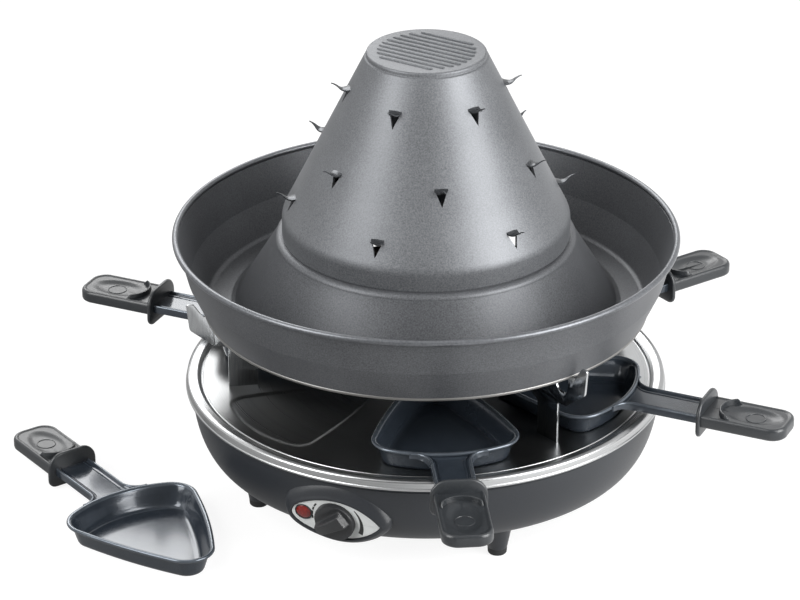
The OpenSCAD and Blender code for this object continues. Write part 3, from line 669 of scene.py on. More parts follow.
class RibField(NodeTool):
    """Parallel ribs that fill a circle: each copy of a unit rib is as long as the circle's chord."""

    def __init__(self) -> None:
        """Builds the tree."""
        super().__init__("Rib field", ["Count"], ["Pitch", "Field", "Angle", "Height"])
        size = self.entry.outputs
        index = add_node(self.tree, "GeometryNodeInputIndex").outputs[0]
        middle = self.math("MULTIPLY", self.math("SUBTRACT", size["Count"], 1.0), 0.5)
        across = self.math("MULTIPLY", self.math("SUBTRACT", index, middle), size["Pitch"])
        left = self.math("SUBTRACT", self.math("MULTIPLY", size["Field"], size["Field"]),
                         self.math("MULTIPLY", across, across))
        half = self.math("SQRT", left)
        x = self.math("MULTIPLY", across, self.math("MULTIPLY", self.math("SINE", size["Angle"]), -1.0))
        y = self.math("MULTIPLY", across, self.math("COSINE", size["Angle"]))
        length = add_node(self.tree, "ShaderNodeCombineXYZ", {"Y": 1.0, "Z": 1.0}, {"X": half})
        self.copies(x, y, size["Angle"], Scale=length.outputs[0])


class TubeRun(NodeTool):
    """A round tube along a line of edges."""

    def __init__(self) -> None:
        """Builds the tree."""
        super().__init__("Tube run", ["Sides"], ["Radius"])
        size = self.entry.outputs
        line = add_node(self.tree, "GeometryNodeMeshToCurve", links={0: size["Geometry"]})
        ring = add_node(self.tree, "GeometryNodeCurvePrimitiveCircle",
                        links={"Radius": size["Radius"], "Resolution": size["Sides"]})
        tube = add_node(self.tree, "GeometryNodeCurveToMesh", {"Fill Caps": True},
                        {"Curve": line.outputs[0], "Profile Curve": ring.outputs[0]})
        self.end(tube.outputs[0])


# Sub-assemblies


@dataclass
class Base:
    """Black housing with its feet, pads, cover, cord grommet and the steel tray on top."""

    foot_h: float = 25.0
    base_top: float = 70.5
    outer_r: float = 154.5
    draw_in: float = 20.0
    wall: float = 3.0
    service_r: float = 60.0
    parting_drop: float = 3.2
    tray_z: float = 75.0
    tray_t: float = 1.0
    tray_edge: float = 2.2
    hub_r: float = 2.0
    ring_r: float = 158.0
    ring_top: float = 77.5
    ring_lip: float = 5.0
    roll_r: float = 4.0
    groove_w: float = 1.6
    groove_depth: float = 1.5
    recess_depth: float = 0.8
    recess_inset: float = 7.5
    recess_slope: float = 1.8
    place_step: float = 60.0
    foot_ring: float = 119.0
    foot_turn: float = -67.0
    screw_ring: float = 65.0
    inlet_turn: float = 110.0
    inlet_out: float = 155.0
    inlet_z: float = 47.0

    def bowl(self, inset: float, steps: int = 24) -> list[Point2]:
        """Section of the bowl's curved wall.

        Args:
            inset: Distance inwards from the outer face.
            steps: Number of steps up the wall.

        Returns:
            Radius and height of each point, from the floor up.
        """
        floor_r = self.outer_r - self.draw_in
        turns = [math.pi / 2 * i / steps for i in range(steps + 1)]
        return [(floor_r + (self.draw_in - inset) * math.sin(a),
                 self.base_top - (self.base_top - self.foot_h - inset) * math.cos(a)) for a in turns]

    def housing(self) -> None:
        """Builds the bowl with a rounded floor edge and a thin parting line under the ring."""
        r, top, floor = self.outer_r, self.base_top, self.foot_h
        line_z = top - self.parting_drop
        outer = [(self.service_r, floor), (r - self.draw_in - 6, floor)] + self.bowl(0.0)[1:]
        outer = [p for p in outer if p[1] < line_z - 0.5]
        outer += [(r - 0.12, line_z - 0.4), (r - 0.55, line_z), (r, line_z + 0.4), (r, top - 0.4),
                  (r - 0.4, top)]
        inner = list(reversed(self.bowl(self.wall)))
        inner[0] = (r - self.wall, top)
        profile = outer + inner + [(self.service_r, floor + self.wall)]
        build_piece("housing_shell", revolve(profile, 192), BASE_PLASTIC, Body.BASE.value, "base_plastic",
                    "base_housing")

    def feet(self, ring: RingArray) -> None:
        """Builds the feet and their rubber pads as ring arrays.

        Args:
            ring: The tree that copies them round the base.
        """
        top = self.foot_h + 0.2
        foot = rounded([(0, 4.6, 0), (6.4, 4.6, 0.5), (10.2, self.foot_h - 0.6, 0), (10.8, top, 0),
                        (0, top, 0)], closed=False)
        pad = rounded([(0, 0, 0), (6.1, 0, 1.6), (6.4, 4.8, 0.2), (0, 4.8, 0)], closed=False)
        kinds = (("foot_posts", foot, BASE_PLASTIC, "base_plastic", "feet"),
                 ("foot_rubbers", pad, RUBBER, "rubber", "foot_pads"))
        for name, profile, finish, slot, node in kinds:
            piece = mesh_object(name, revolve(profile, 40, closed=False))
            ring.apply(piece, finish, Count=4, Radius=self.foot_ring * MM, Start=math.radians(self.foot_turn),
                       Step=TURN / 4, Height=0.0)
            finished(piece, finish, Body.BASE.value, slot, node)

    def cover(self) -> None:
        """Builds the bottom cover with a pressed ring."""
        z = self.foot_h
        section = rounded([(0, z - 2, 0), (38, z - 2, 0.4), (39, z - 1.2, 0.4), (44, z - 1.2, 0.4),
                           (45, z - 2, 0.4), (69.2, z - 2, 0), (70, z - 1.2, 0), (70, z, 0), (0, z, 0)],
                          closed=False, steps=3)
        build_piece("bottom_lid", revolve(section, 96, closed=False), BASE_PLASTIC, Body.BASE.value,
                    "base_plastic", "bottom_cover")

    def screws(self, ring: RingArray) -> None:
        """Builds the cover's screws with their driver holes.

        Args:
            ring: The tree that copies them round the cover.
        """
        low = self.foot_h - 4.0
        head = rounded([(0, low + 0.9, 0), (0.9, low + 0.9, 0), (1.1, low, 0), (2.4, low, 0.6),
                        (3.0, low + 1.2, 0.3), (3.0, low + 2.0, 0), (1.5, low + 2.0, 0), (1.5, low + 11.0, 0),
                        (0, low + 11.0, 0)], closed=False, steps=3)
        piece = mesh_object("cover_screw_heads", revolve(head, 24, closed=False))
        ring.apply(piece, PLATED_STEEL, Count=4, Radius=self.screw_ring * MM, Start=TURN / 8, Step=TURN / 4,
                   Height=0.0)
        finished(piece, PLATED_STEEL, Body.BASE.value, "plated_steel", "cover_screws")

    def grommet(self) -> None:
        """Builds the rubber cord grommet and the moulded seat round it."""
        bush = rounded([(3.75, -13, 0), (7, -13, 0.5), (7, 0, 0), (9.5, 0, 0.3), (9.5, 1.6, 0.8),
                        (7.2, 3, 0.8), (3.75, 3, 0.5)], steps=4)
        seat = rounded([(7.1, -16, 0), (11, -16, 0), (11, 0, 0.8), (7.1, 0, 0)], steps=4)
        spot = about_z(self.inlet_turn) @ Matrix.Translation((self.inlet_out, 0, self.inlet_z))
        outwards = spot @ Matrix.Rotation(math.pi / 2, 4, "Y")
        build_piece("cord_grommet", revolve(bush, 40).moved(outwards), RUBBER, Body.BASE.value, "rubber",
                    "cord_inlet")
        build_piece("grommet_seat", revolve(seat, 40).moved(outwards), BASE_PLASTIC, Body.BASE.value,
                    "base_plastic")

    def tray_point(self, recess: Sequence[Point2], r: float, a: float) -> Point3:
        """Point of the tray's top, which dips where a pan stands.

        Args:
            recess: Outline of the recess that lies along the X axis.
            r: The point's distance from the axis.
            a: Its angle.

        Returns:
            The point.
        """
        local = (math.degrees(a) - Place.FRONT.turn) % self.place_step
        turn = math.radians(local if local <= self.place_step / 2 else local - self.place_step)
        gap = edge_distance(recess, (r * math.cos(turn), r * math.sin(turn)))
        depth = self.recess_depth * ease(0.5 - gap / self.recess_slope)
        return (r * math.cos(a), r * math.sin(a), self.tray_z - depth)

    def tray(self, pan: Pan) -> None:
        """Builds the steel tray: flat with six recesses, groove, rolled ring and turned-in lip.

        Args:
            pan: The raclette pan, whose outline the recesses follow.
        """
        steps = 480
        r, top, foot = self.ring_r, self.ring_top, self.base_top
        roll_mid = r - self.roll_r
        flat_r = roll_mid - self.roll_r - 2 * self.groove_w
        low = self.tray_z - self.groove_depth
        under = self.tray_z - self.tray_edge
        profile = rounded([(flat_r, self.tray_z, 0), (flat_r + 0.8, low + 0.6, 0.4),
                           (flat_r + 1.8, self.tray_z + 0.7, 0.6), (flat_r + 4.0, top - 0.5, 2.0),
                           (r - 3.0, top, 2.5), (r - 0.4, top - 1.0, 1.6), (r, foot + 1.7, 0.4),
                           (r + 0.5, foot + 1.2, 0.3), (r + 0.5, foot, 0.3), (r - self.ring_lip, foot, 0)],
                          closed=False, steps=6)
        profile += [(r - self.ring_lip, foot + self.tray_t), (r - self.tray_t, foot + self.tray_t)]
        profile += arc((roll_mid, top - self.roll_r), self.roll_r - self.tray_t, 0, 180, 12)
        profile += [(flat_r + 2 * self.groove_w, low - self.tray_t), (flat_r, under)]
        build_piece("tray_ring", revolve(profile, steps), RING_STEEL, Body.BASE.value, "polished_steel")
        radii = [self.hub_r, 12.0, 24.0, 34.0, 40.0] + [40 + 1.3 * i for i in range(1, 84)]
        radii = [q for q in radii if q < flat_r - 0.6] + [flat_r]
        recess = pan.outline(-self.recess_inset, 6)
        rings = [[self.tray_point(recess, q, TURN * i / steps) for i in range(steps)] for q in radii]
        rings += [circle(q, under, steps) for q in (flat_r, self.hub_r)]
        build_piece("tray_plate", loft(rings), TRAY_STEEL, Body.BASE.value, "polished_steel", "steel_tray")

    def build(self, ring: RingArray, pan: Pan) -> None:
        """Builds the base from the housing up.

        Args:
            ring: The tree that copies feet and screws.
            pan: The raclette pan, whose outline the tray's recesses follow.
        """
        self.housing()
        self.feet(ring)
        self.cover()
        self.screws(ring)
        self.grommet()
        self.tray(pan)


def edge_distance(outline: Sequence[Point2], spot: Point2) -> float:
    """Signed distance from a closed convex outline, negative inside.

    Args:
        outline: The outline's points.
        spot: The point that is measured.

    Returns:
        The distance.
    """
    best = 1e9
    inside = True
    x, y = spot
    count = len(outline)
    for i in range(count):
        ax, ay = outline[i]
        bx, by = outline[(i + 1) % count]
        ex, ey = bx - ax, by - ay
        px, py = x - ax, y - ay
        t = min(1.0, max(0.0, (px * ex + py * ey) / (ex * ex + ey * ey)))
        best = min(best, math.hypot(px - t * ex, py - t * ey))
        if ex * py - ey * px < 0:
            inside = False
    return -best if inside else best


@dataclass
class Stand:
    """Three sheet brackets that carry the broth pan, and the heater that hangs in them."""

    tray_z: float = 75.0
    broth_z: float = 127.0
    heater_z: float = 116.0
    heater_r: float = 105.0
    tube_r: float = 3.5
    tube_play: float = 0.3
    sheet: float = 1.5
    turns: Sequence[tuple[str, float]] = (("right", -50.0), ("rear", 70.0), ("left", 190.0))
    leg_in: float = 112.0
    leg_out: float = 131.0
    leg_bottom_z: float = 51.0
    tab_w: float = 6.0
    elbow: float = 9.0
    leg_side: float = 8.0
    gap_turn: float = 126.0

    def outline(self) -> list[Point2]:
        """Outline of a bracket, radius across and height up.

        Returns:
            The outline's points.
        """
        notch = self.tube_r + self.tube_play
        z = self.broth_z
        arm = self.heater_z + self.tube_r + 2
        hang = self.heater_r - notch - 4
        horn = rounded([(self.leg_in, self.tray_z, 0), (self.leg_out, self.tray_z, 0),
                        (self.leg_out, z - 22.5, 2), (self.leg_out + 8, z - 22.5, 3), (156, z - 9, 4),
                        (158, z + 9, 1.2), (153, z + 9, 1.2), (147, z, 0.5), (140.5, z, 0)], closed=False)
        seat = rounded([(129.5, z, 0), (119, z, 1), (116, arm, 1), (self.heater_r + notch, arm, 0)],
                       closed=False)
        tip = rounded([(self.heater_r - notch, arm, 0), (hang, arm, 1), (hang, self.heater_z - notch - 4, 3),
                       (self.leg_in, self.heater_z - notch - 14, 0)], closed=False)
        return (horn + arc((135, z - 8.8), 5.5, 0, -180, 14) + seat
                + arc((self.heater_r, self.heater_z), notch, 0, -180, 12) + tip)

    def brackets(self) -> None:
        """Builds the three brackets with softened edges and folded feet."""
        outline = self.outline()
        half = self.sheet / 2
        fold = rounded([(-half, 0, 0), (-half, -2.5, 0.4), (half + 4.2, -2.5, 0.4), (half + 4.2, -1, 0.2),
                        (half, -1, 0.2), (half, 0, 0)], steps=3)
        for name, turn in self.turns:
            plate = loft([[(x, side, z) for x, z in outline] for side in (-half, half)])
            for start in (self.leg_in + 2, self.leg_out - 8):
                ends = (start, start + self.tab_w)
                plate.add(loft([[(x, y, self.tray_z + z) for y, z in fold] for x in ends]))
            piece = mesh_object("bracket_plate_" + name, plate.moved(about_z(turn)))
            bevel = piece.modifiers.new("Edge", "BEVEL")
            bevel.width = 0.25 * MM
            bevel.segments = 2
            bevel.limit_method = "ANGLE"
            settle(piece)
            finished(piece, BRACKET_STEEL, Body.BASE.value, "polished_steel", "bracket_" + name)

    @property
    def half_gap(self) -> float:
        """Half the angle of the gap in the heater's loop."""
        return math.asin((self.leg_side + self.elbow) / self.heater_r)

    def heater(self, tube: TubeRun) -> None:
        """Builds the heater's loop with its elbows and legs.

        Args:
            tube: The tree that gives the line its thickness.
        """
        r, z, gap, elbow = self.heater_r, self.heater_z, self.half_gap, self.elbow
        up = Vector((0, 0, 1))
        across = Vector((math.sin(gap), -math.cos(gap), 0))
        middle = Vector((r * math.cos(gap), r * math.sin(gap), z - elbow))
        rise = [middle + across * elbow + Vector((0, 0, self.leg_bottom_z - z + elbow))]
        for i in range(9):
            a = math.pi / 2 * i / 8
            rise.append(middle + elbow * (math.cos(a) * across + math.sin(a) * up))
        steps = 120
        sweep = TURN - 2 * gap
        turns = [gap + sweep * i / steps for i in range(1, steps)]
        loop = [Vector((r * math.cos(a), r * math.sin(a), z)) for a in turns]
        fall = [Vector((p.x, -p.y, p.z)) for p in reversed(rise)]
        spin = about_z(self.gap_turn)
        route = [tuple((spin @ p) * MM) for p in rise + loop + fall]
        mesh = bpy.data.meshes.new("heater_tube")
        mesh.from_pydata(route, [(i, i + 1) for i in range(len(route) - 1)], [])
        piece = in_scene("heater_tube", mesh)
        tube.apply(piece, HEATER_SHEATH, Radius=self.tube_r * MM, Sides=20)
        finished(piece, HEATER_SHEATH, Body.BASE.value, "heater_sheath", "heating_element")

    def bushes(self) -> None:
        """Builds the two bushes where the heater's legs pass through the tray."""
        z = self.tray_z
        section = rounded([(3.6, z - 4, 0), (5.5, z - 4, 0.4), (5.5, z, 0), (7.4, z, 0.2), (7.4, z + 2, 0.7),
                           (3.6, z + 2, 0.4)], steps=3)
        out = self.heater_r * math.cos(self.half_gap) + self.elbow * math.sin(self.half_gap)
        side = self.heater_r * math.sin(self.half_gap) - self.elbow * math.cos(self.half_gap)
        pair = Shape()
        for y in (-side, side):
            pair.add(revolve(section, 32).moved(about_z(self.gap_turn) @ Matrix.Translation((out, y, 0))))
        build_piece("heater_bush_pair", pair, STEATITE, Body.BASE.value, "ceramic", "heater_bushes")

    def build(self) -> None:
        """Builds the brackets, then the heater and its bushes."""
        self.brackets()
        self.heater(TubeRun())
        self.bushes()


@dataclass
class Controls:
    """Sunk eye-shaped plate with knob, lamp and printed marks in a bulging surround."""

    turn: float = -111.8
    tilt: float = 12.0
    out: float = 152.0
    height: float = 41.0
    plate_w: float = 61.0
    plate_h: float = 29.5
    lamp_at: Point2 = (-21.9, 1.6)
    lamp_d: float = 10.5
    knob_d: float = 27.0
    knob_top: float = 8.7
    knob_edge: float = 0.35
    skirt_h: float = 3.6
    bar_h: float = 5.2
    bar_half: float = 3.9
    bar_reach: float = 0.72
    bar_turn: float = 33.0
    dash_ring: float = 16.1
    wedge_r: float = 16.6
    print_h: float = 0.12

    def place(self) -> Matrix:
        """Where the plate is.

        Returns:
            Matrix from the plate's own x across, y up and z outwards to the model.
        """
        spot = about_z(self.turn) @ Matrix.Translation((self.out, 0, self.height))
        lean = Matrix.Rotation(math.radians(self.tilt), 4, "Y")
        axes = Matrix(((0, 0, 1, 0), (1, 0, 0, 0), (0, 1, 0, 0), (0, 0, 0, 1)))
        return spot @ lean @ axes

    def eye(self, grow: float, steps: int = 48) -> list[Point2]:
        """Outline of the plate: round at the lamp's end and pointed at the other.

        Args:
            grow: Distance outwards from the plate's edge.
            steps: Number of steps along each edge.

        Returns:
            The outline's points, counted anticlockwise.
        """
        half_w = self.plate_w / 2
        half_h = self.plate_h / 2
        r = (half_w ** 2 + half_h ** 2) / (2 * half_h)
        upper = []
        for i in range(steps + 1):
            u = half_w * math.cos(math.pi * i / steps)
            lens = math.sqrt(max(0.0, r * r - u * u)) - (r - half_h)
            oval = half_h * math.sqrt(max(0.0, 1 - (u / half_w) ** 2))
            upper.append((u, lens + (oval - lens) * 0.75 * ease(-u / half_w)))
        loop = upper + [(u, -v) for u, v in reversed(upper[1:-1])]
        count = len(loop)
        grown = []
        for i, (u, v) in enumerate(loop):
            along = Vector(loop[(i + 1) % count]) - Vector(loop[i - 1])
            side = Vector((along.y, -along.x)).normalized()
            grown.append((u + side.x * grow, v + side.y * grow))
        return grown

    def surround(self) -> None:
        """Builds the bulging black lip round the plate, which runs back into the housing."""
        stations = ((-0.4, -1.4), (0.0, -1.2), (0.2, 0.2), (0.6, 0.8), (1.2, 1.0), (1.9, 0.8), (2.5, 0.35),
                    (3.2, -0.3), (4.2, -1.2), (5.2, -2.8), (5.8, -5.0), (6.2, -8.0), (6.4, -17.0))
        rings = []
        for grow, out in stations:
            ring = []
            for u, v in self.eye(grow):
                swell = 1 + 0.06 * max(0.0, grow - 2.4) * max(0.0, v / (self.plate_h / 2))
                ring.append((u * (1 + (swell - 1) * 0.5), v * swell, out))
            rings.append(ring)
        build_piece("panel_surround", loft(rings).moved(self.place()), BASE_PLASTIC, Body.BASE.value,
                    "base_plastic")

    def plate(self) -> None:
        """Builds the silver plate with a fine rounded edge."""
        rings = layers(self.eye, ((-0.1, -1.0), (-0.1, -0.25), (-0.35, 0.0)))
        build_piece("panel_plate", loft(rings).moved(self.place()), PANEL_SILVER, Body.BASE.value,
                    "panel_silver", "control_plate")

    def marks(self, ring: RingArray) -> None:
        """Prints the scale on the plate: dashes on the lamp's side, a swelling arc on the other.

        Args:
            ring: The tree that copies the dashes.
        """
        place = self.place()
        in_metres = place.copy()
        in_metres.translation = place.translation * MM
        dash = loft([[(-0.55, -1.35, z), (0.55, -1.35, z), (0.55, 1.35, z), (-0.55, 1.35, z)]
                     for z in (0.0, self.print_h)])
        piece = mesh_object("scale_dashes", dash)
        ring.apply(piece, PANEL_PRINT, Count=4, Radius=self.dash_ring * MM, Start=math.radians(146.0),
                   Step=math.radians(12.5), Height=0.0)
        piece.data.transform(in_metres)
        finished(piece, PANEL_PRINT, Body.BASE.value, "knob_plastic")
        steps = 24
        r = self.wedge_r
        rings = []
        for i in range(steps + 1):
            a = math.radians(-27 + 64 * i / steps)
            wide = 2.6 * (1 - i / steps) + 0.5
            section = ((r, 0.0), (r + wide, 0.0), (r + wide, self.print_h), (r, self.print_h))
            rings.append([(q * math.cos(a), q * math.sin(a), z) for q, z in section])
        build_piece("scale_wedge", loft(rings).moved(place), PANEL_PRINT, Body.BASE.value, "knob_plastic")

    def lamp(self) -> None:
        """Builds the red lens and the black ring round it."""
        spot = self.place() @ Matrix.Translation((*self.lamp_at, 0))
        r = self.lamp_d / 2
        dome = rounded([(0, 1.4, 0), (2.6, 1.25, 0), (4.2, 0.85, 0), (r - 0.25, 0.3, 0.3), (r - 0.25, -7, 0),
                        (0, -7, 0)], closed=False)
        build_piece("lamp_dome", revolve(dome, 48, closed=False).moved(spot), LAMP_RED, Body.BASE.value,
                    "lamp_red", "lamp_lens")
        collar = rounded([(r - 0.2, -0.4, 0), (r + 0.7, -0.4, 0), (r + 0.7, 0.55, 0.3), (r - 0.2, 0.55, 0.3)],
                         steps=3)
        build_piece("lamp_collar", revolve(collar, 48).moved(spot), KNOB_PLASTIC, Body.BASE.value,
                    "knob_plastic")

    def knob_face(self, x: float, y: float) -> float:
        """Height of the knob's face: two hollow flanks and a bar that ends short of the edge.

        Args:
            x: Distance across from the knob's axis.
            y: Distance up from it.

        Returns:
            The height above the plate.
        """
        r = self.knob_d / 2
        bar = math.radians(self.bar_turn)
        along = x * math.cos(bar) + y * math.sin(bar)
        across = abs(-x * math.sin(bar) + y * math.cos(bar))
        half = self.bar_half + along / r
        wall = ease((half + 1.6 - across) / 2.2) * ease((self.bar_reach * r - along) / 1.8)
        flank = 1.2 * ease((across - 6.0) / 7.0)
        return self.skirt_h + flank + wall * (self.bar_h - flank)

    def knob(self) -> None:
        """Builds the knob: a skirt, two hollow flanks and a grip bar across it."""
        r = self.knob_d / 2
        steps = 96
        rings = [circle(q, z, steps) for q, z in ((3.05, 0.5), (r, 0.5), (r, 3.0))]
        for k in range(1, 28):
            q = (r - self.knob_edge) * (28 - k) / 27
            crown = self.knob_top - 0.01 * q * q
            rings.append([(x, y, min(self.knob_face(x, y), crown)) for x, y, _ in circle(q, 0.0, steps)])
        build_piece("knob_cap", loft(rings).moved(self.place()), KNOB_PLASTIC, Body.KNOB.value,
                    "knob_plastic", "control_knob", sharp=28.0)

    def build(self, ring: RingArray) -> None:
        """Builds the panel from its surround to the knob.

        Args:
            ring: The tree that copies the scale's dashes.
        """
        self.surround()
        self.plate()
        self.marks(ring)
        self.lamp()
        self.knob()


@dataclass
class BrothPan:
    """Ring-shaped broth pan with a rolled rim, a stepped wall and a domed centre."""

    floor_z: float = 127.0
    rim_z: float = 178.0
    rim_r: float = 165.0
    bead_r: float = 2.0
    ledge_r: float = 89.2
    steps: int = 224

    def section(self) -> list[Point2]:
        """Section of the pan from its inner edge down, out to the rim and back over the floor.

        Returns:
            Radius and height of each point.
        """
        z, rim, edge = self.floor_z, self.rim_z, self.ledge_r
        points = rounded([(edge, 175, 0.8), (93.2, 175, 1.5), (96.3, 171.5, 2), (122.0, z, 1.5),
                          (144.0, z, 0.8), (145.0, z + 1.0, 0.8), (155.6, z + 24, 6),
                          (161.4, rim - 4.8, 0.6)], closed=False)
        points += [(162.0, rim - 3.2)]
        points += rounded([(161, rim - 3.5, 0), (153, z + 23, 3), (143.4, z + 3, 5), (141.0, z + 2, 3),
                           (127.5, z + 2, 3), (124.4, z + 3.4, 2.5), (98.2, 173, 0)], closed=False)
        points += arc((94.2, 173), 4.0, 0, 90, 8)
        points += rounded([(94.2, 177, 0), (91.2, 177, 0.6), (91.2, 183, 0.6), (edge, 183, 0.6),
                           (edge, 176, 0)], closed=False)[1:]
        return points

    def build(self) -> None:
        """Builds the pan, its rolled rim and the bare edge of its turned foot."""
        z = self.floor_z
        # The rim bead's paler coat is a painted highlight.
        bead = arc((self.rim_r - self.bead_r, self.rim_z - self.bead_r), self.bead_r, 0, 345, 23)
        build_piece("broth_rim_bead", revolve(bead, self.steps), RIM_HIGHLIGHT_COATING, Body.BROTH.value,
                    "coated_aluminium")
        # The bowl's coat is painted a shade darker than the hat's: painted shade.
        build_piece("broth_bowl", revolve(self.section(), self.steps), BROTH_SHADED_COATING, Body.BROTH.value,
                    "coated_aluminium", "broth_pan", sharp=50.0)
        edge = arc((144.4, z + 1.5), 1.5, -110, 60, 12) + [(144.6, z + 2.6), (143.0, z + 0.6)]
        build_piece("broth_foot_edge", revolve(edge, self.steps), FOOT_EDGE, Body.BROTH.value,
                    "coated_aluminium")


@dataclass
class Hat:
    """Conical grilling hat: pierced sheet, pressed-out hooks and ribs on its top."""

    ledge_z: float = 177.0
    height: float = 126.0
    collar_r: float = 93.6
    collar_h: float = 14.0
    collar_bend: float = 14.0
    top_r: float = 38.0
    sheet: float = 1.8
    rows: Sequence[tuple[float, float]] = ((22.7, -113.2), (65.2, -82.3), (95.5, -110.8))
    per_row: int = 6
    hook_w: float = 8.8
    hook_l: float = 12.0
    hook_t: float = 1.2
    rib_count: int = 10
    rib_pitch: float = 5.5
    rib_field: float = 31.5
    rib_turn: float = -32.0

    @property
    def top_z(self) -> float:
        """Height of the hat's top."""
        return self.ledge_z + self.height

    @property
    def slope(self) -> float:
        """Angle of the cone's side from the vertical."""
        return math.atan((self.collar_r - self.top_r) / (self.height - self.collar_h))

    def windows(self) -> list[tuple[float, float]]:
        """Angle and drop of each hook's root."""
        return [(math.radians(turn) + TURN * k / self.per_row, drop)
                for drop, turn in self.rows for k in range(self.per_row)]

    def sheet_section(self) -> list[Point2]:
        """Section of the hat's outer face, from its hem to the middle of its top.

        Returns:
            Radius and height of each point, about 1.2 mm apart on the cone.
        """
        hem_r, hem_z = self.collar_r, self.ledge_z
        r, z = self.top_r, self.top_z
        corners = rounded([(hem_r - 0.5, hem_z, 0), (hem_r, hem_z + 1.0, 0.6),
                           (hem_r, hem_z + self.collar_h, self.collar_bend), (r + 1.7, z - 3.6, 0.9),
                           (r + 0.6, z - 2.9, 0.5), (r + 0.6, z, 1.6), (24, z, 0)], closed=False, steps=7)
        points = [corners[0]]
        for end in corners[1:]:
            start = points[-1]
            gap = math.hypot(end[0] - start[0], end[1] - start[1])
            parts = round(gap / 1.2) if gap > 20 else 1
            points += [tuple(a + (b - a) * k / parts for a, b in zip(start, end))
                       for k in range(1, parts + 1)]
        return points + [(q, z) for q in (16, 8, 0.0)]

    def pierce(self, shape: Shape) -> None:
        """Opens a pointed window under each hook.

        Args:
            shape: The sheet, whose points move to the windows' edges.
        """
        down = 1 / math.cos(self.slope)
        points = [Vector(p) for p in shape.points]
        corners = [Vector((-self.hook_w / 2, 0)), Vector((self.hook_w / 2, 0)), Vector((0, self.hook_l))]
        gone: set[int] = set()
        for turn, drop in self.windows():
            root_z = self.top_z - drop

            def local(p: Vector) -> Vector:
                """Place on the sheet: across and down from the hook's root."""
                a = (math.atan2(p.y, p.x) - turn + math.pi) % TURN - math.pi
                return Vector((a * math.hypot(p.x, p.y), (root_z - p.z) * down))

            near = {i for i, p in enumerate(points)
                    if -3 < root_z - p.z < 16 and local(p).length < 18 and p.z < self.top_z - 6}
            hole = set()
            for f, face in enumerate(shape.faces):
                if all(i in near for i in face):
                    middle = sum((local(points[i]) for i in face), Vector((0, 0))) / len(face)
                    if inside_triangle(middle, corners):
                        hole.add(f)
            rim = ({i for f in hole for i in shape.faces[f]}
                   & {i for f, face in enumerate(shape.faces) if f not in hole for i in face if i in near})
            spots = {i: nearest_on_loop(local(points[i]), corners) for i in rim}
            for corner in corners:
                closest = min(rim, key=lambda i: (local(points[i]) - corner).length)
                spots[closest] = corner
            for i, spot in spots.items():
                z = root_z - spot.y / down
                r = self.top_r + (self.top_z - z) * math.tan(self.slope)
                a = turn + spot.x / r
                points[i] = Vector((r * math.cos(a), r * math.sin(a), z))
            gone |= hole
        shape.points = [tuple(p) for p in points]
        shape.faces = [face for f, face in enumerate(shape.faces) if f not in gone]

    def shell(self) -> None:
        """Builds the pierced sheet and gives it thickness."""
        shape = revolve(self.sheet_section(), 312, closed=False)
        self.pierce(shape)
        piece = mesh_object("hat_shell", shape, sharp=50.0)
        thick = piece.modifiers.new("Sheet", "SOLIDIFY")
        thick.thickness = self.sheet * MM
        thick.offset = -1.0
        thick.use_even_offset = True
        settle(piece, 50.0)
        finished(piece, GREY_COATING, Body.HAT.value, "coated_aluminium", "hat")

    def hooks(self, ring: RingArray) -> None:
        """Builds each row of hooks: pointed tongues with a turned-up tip.

        Args:
            ring: The tree that copies the hook round the hat.
        """
        steps = 14
        stations = []
        for i in range(steps + 1):
            t = i / steps
            x = -1.0 + (self.hook_l + 1.0) * t
            half = (self.hook_w / 2) * (1 - ease(t) * 0.94) if t > 0.1 else self.hook_w / 2
            lift = -1.1 * math.sin(math.pi * min(1.0, t * 1.45)) + 2.9 * ease((t - 0.45) / 0.55)
            thick = self.hook_t - 0.65 * t
            curl = 0.5 * (1 - t)
            upper = [(s, 0.0) for s in (-1, -0.5, 0, 0.5, 1)]
            lower = [(s, -thick) for s, _ in reversed(upper)]
            stations.append([(x, half * s, lift + z - curl * s * s + 0.6) for s, z in upper + lower])
        tongue = loft(stations)
        for row, (drop, turn) in enumerate(self.rows):
            piece = mesh_object("hat_hooks_%d" % (row + 1), tongue)
            ring.apply(piece, HOOK_STEEL, Count=self.per_row,
                       Radius=(self.top_r + drop * math.tan(self.slope)) * MM, Start=math.radians(turn),
                       Step=TURN / self.per_row, Height=(self.top_z - drop) * MM)
            finished(piece, HOOK_STEEL, Body.HAT.value, "coated_aluminium")

    def ribs(self, field_tree: RibField) -> None:
        """Builds the raised ribs on the top.

        Args:
            field_tree: The tree that fills the top with them.
        """
        section = rounded([(-1.3, -0.9, 0), (-1.2, 0.7, 0.4), (-0.5, 1.0, 0.4), (0.5, 1.0, 0.4),
                           (1.2, 0.7, 0.4), (1.3, -0.9, 0)], steps=3)
        rings = []
        for x, size in ((-1.0, 0.55), (-0.97, 0.9), (-0.93, 1.0), (0.93, 1.0), (0.97, 0.9), (1.0, 0.55)):
            rings.append([(x * 1000, y * size, z * size if z > 0 else z) for y, z in section])
        piece = mesh_object("top_ribs", loft(rings))
        field_tree.apply(piece, GREY_COATING, Count=self.rib_count, Pitch=self.rib_pitch * MM,
                         Field=self.rib_field * MM, Angle=math.radians(self.rib_turn), Height=self.top_z * MM)
        finished(piece, GREY_COATING, Body.HAT.value, "coated_aluminium")

    def build(self, ring: RingArray) -> None:
        """Builds the hat's sheet, hooks and ribs.

        Args:
            ring: The tree that copies the hooks.
        """
        self.shell()
        self.hooks(ring)
        self.ribs(RibField())


def inside_triangle(spot: Vector, corners: Sequence[Vector]) -> bool:
    """Whether a point lies in a triangle."""
    signs = [(corners[(i + 1) % 3] - corners[i]).cross(spot - corners[i]) for i in range(3)]
    return all(s >= 0 for s in signs) or all(s <= 0 for s in signs)


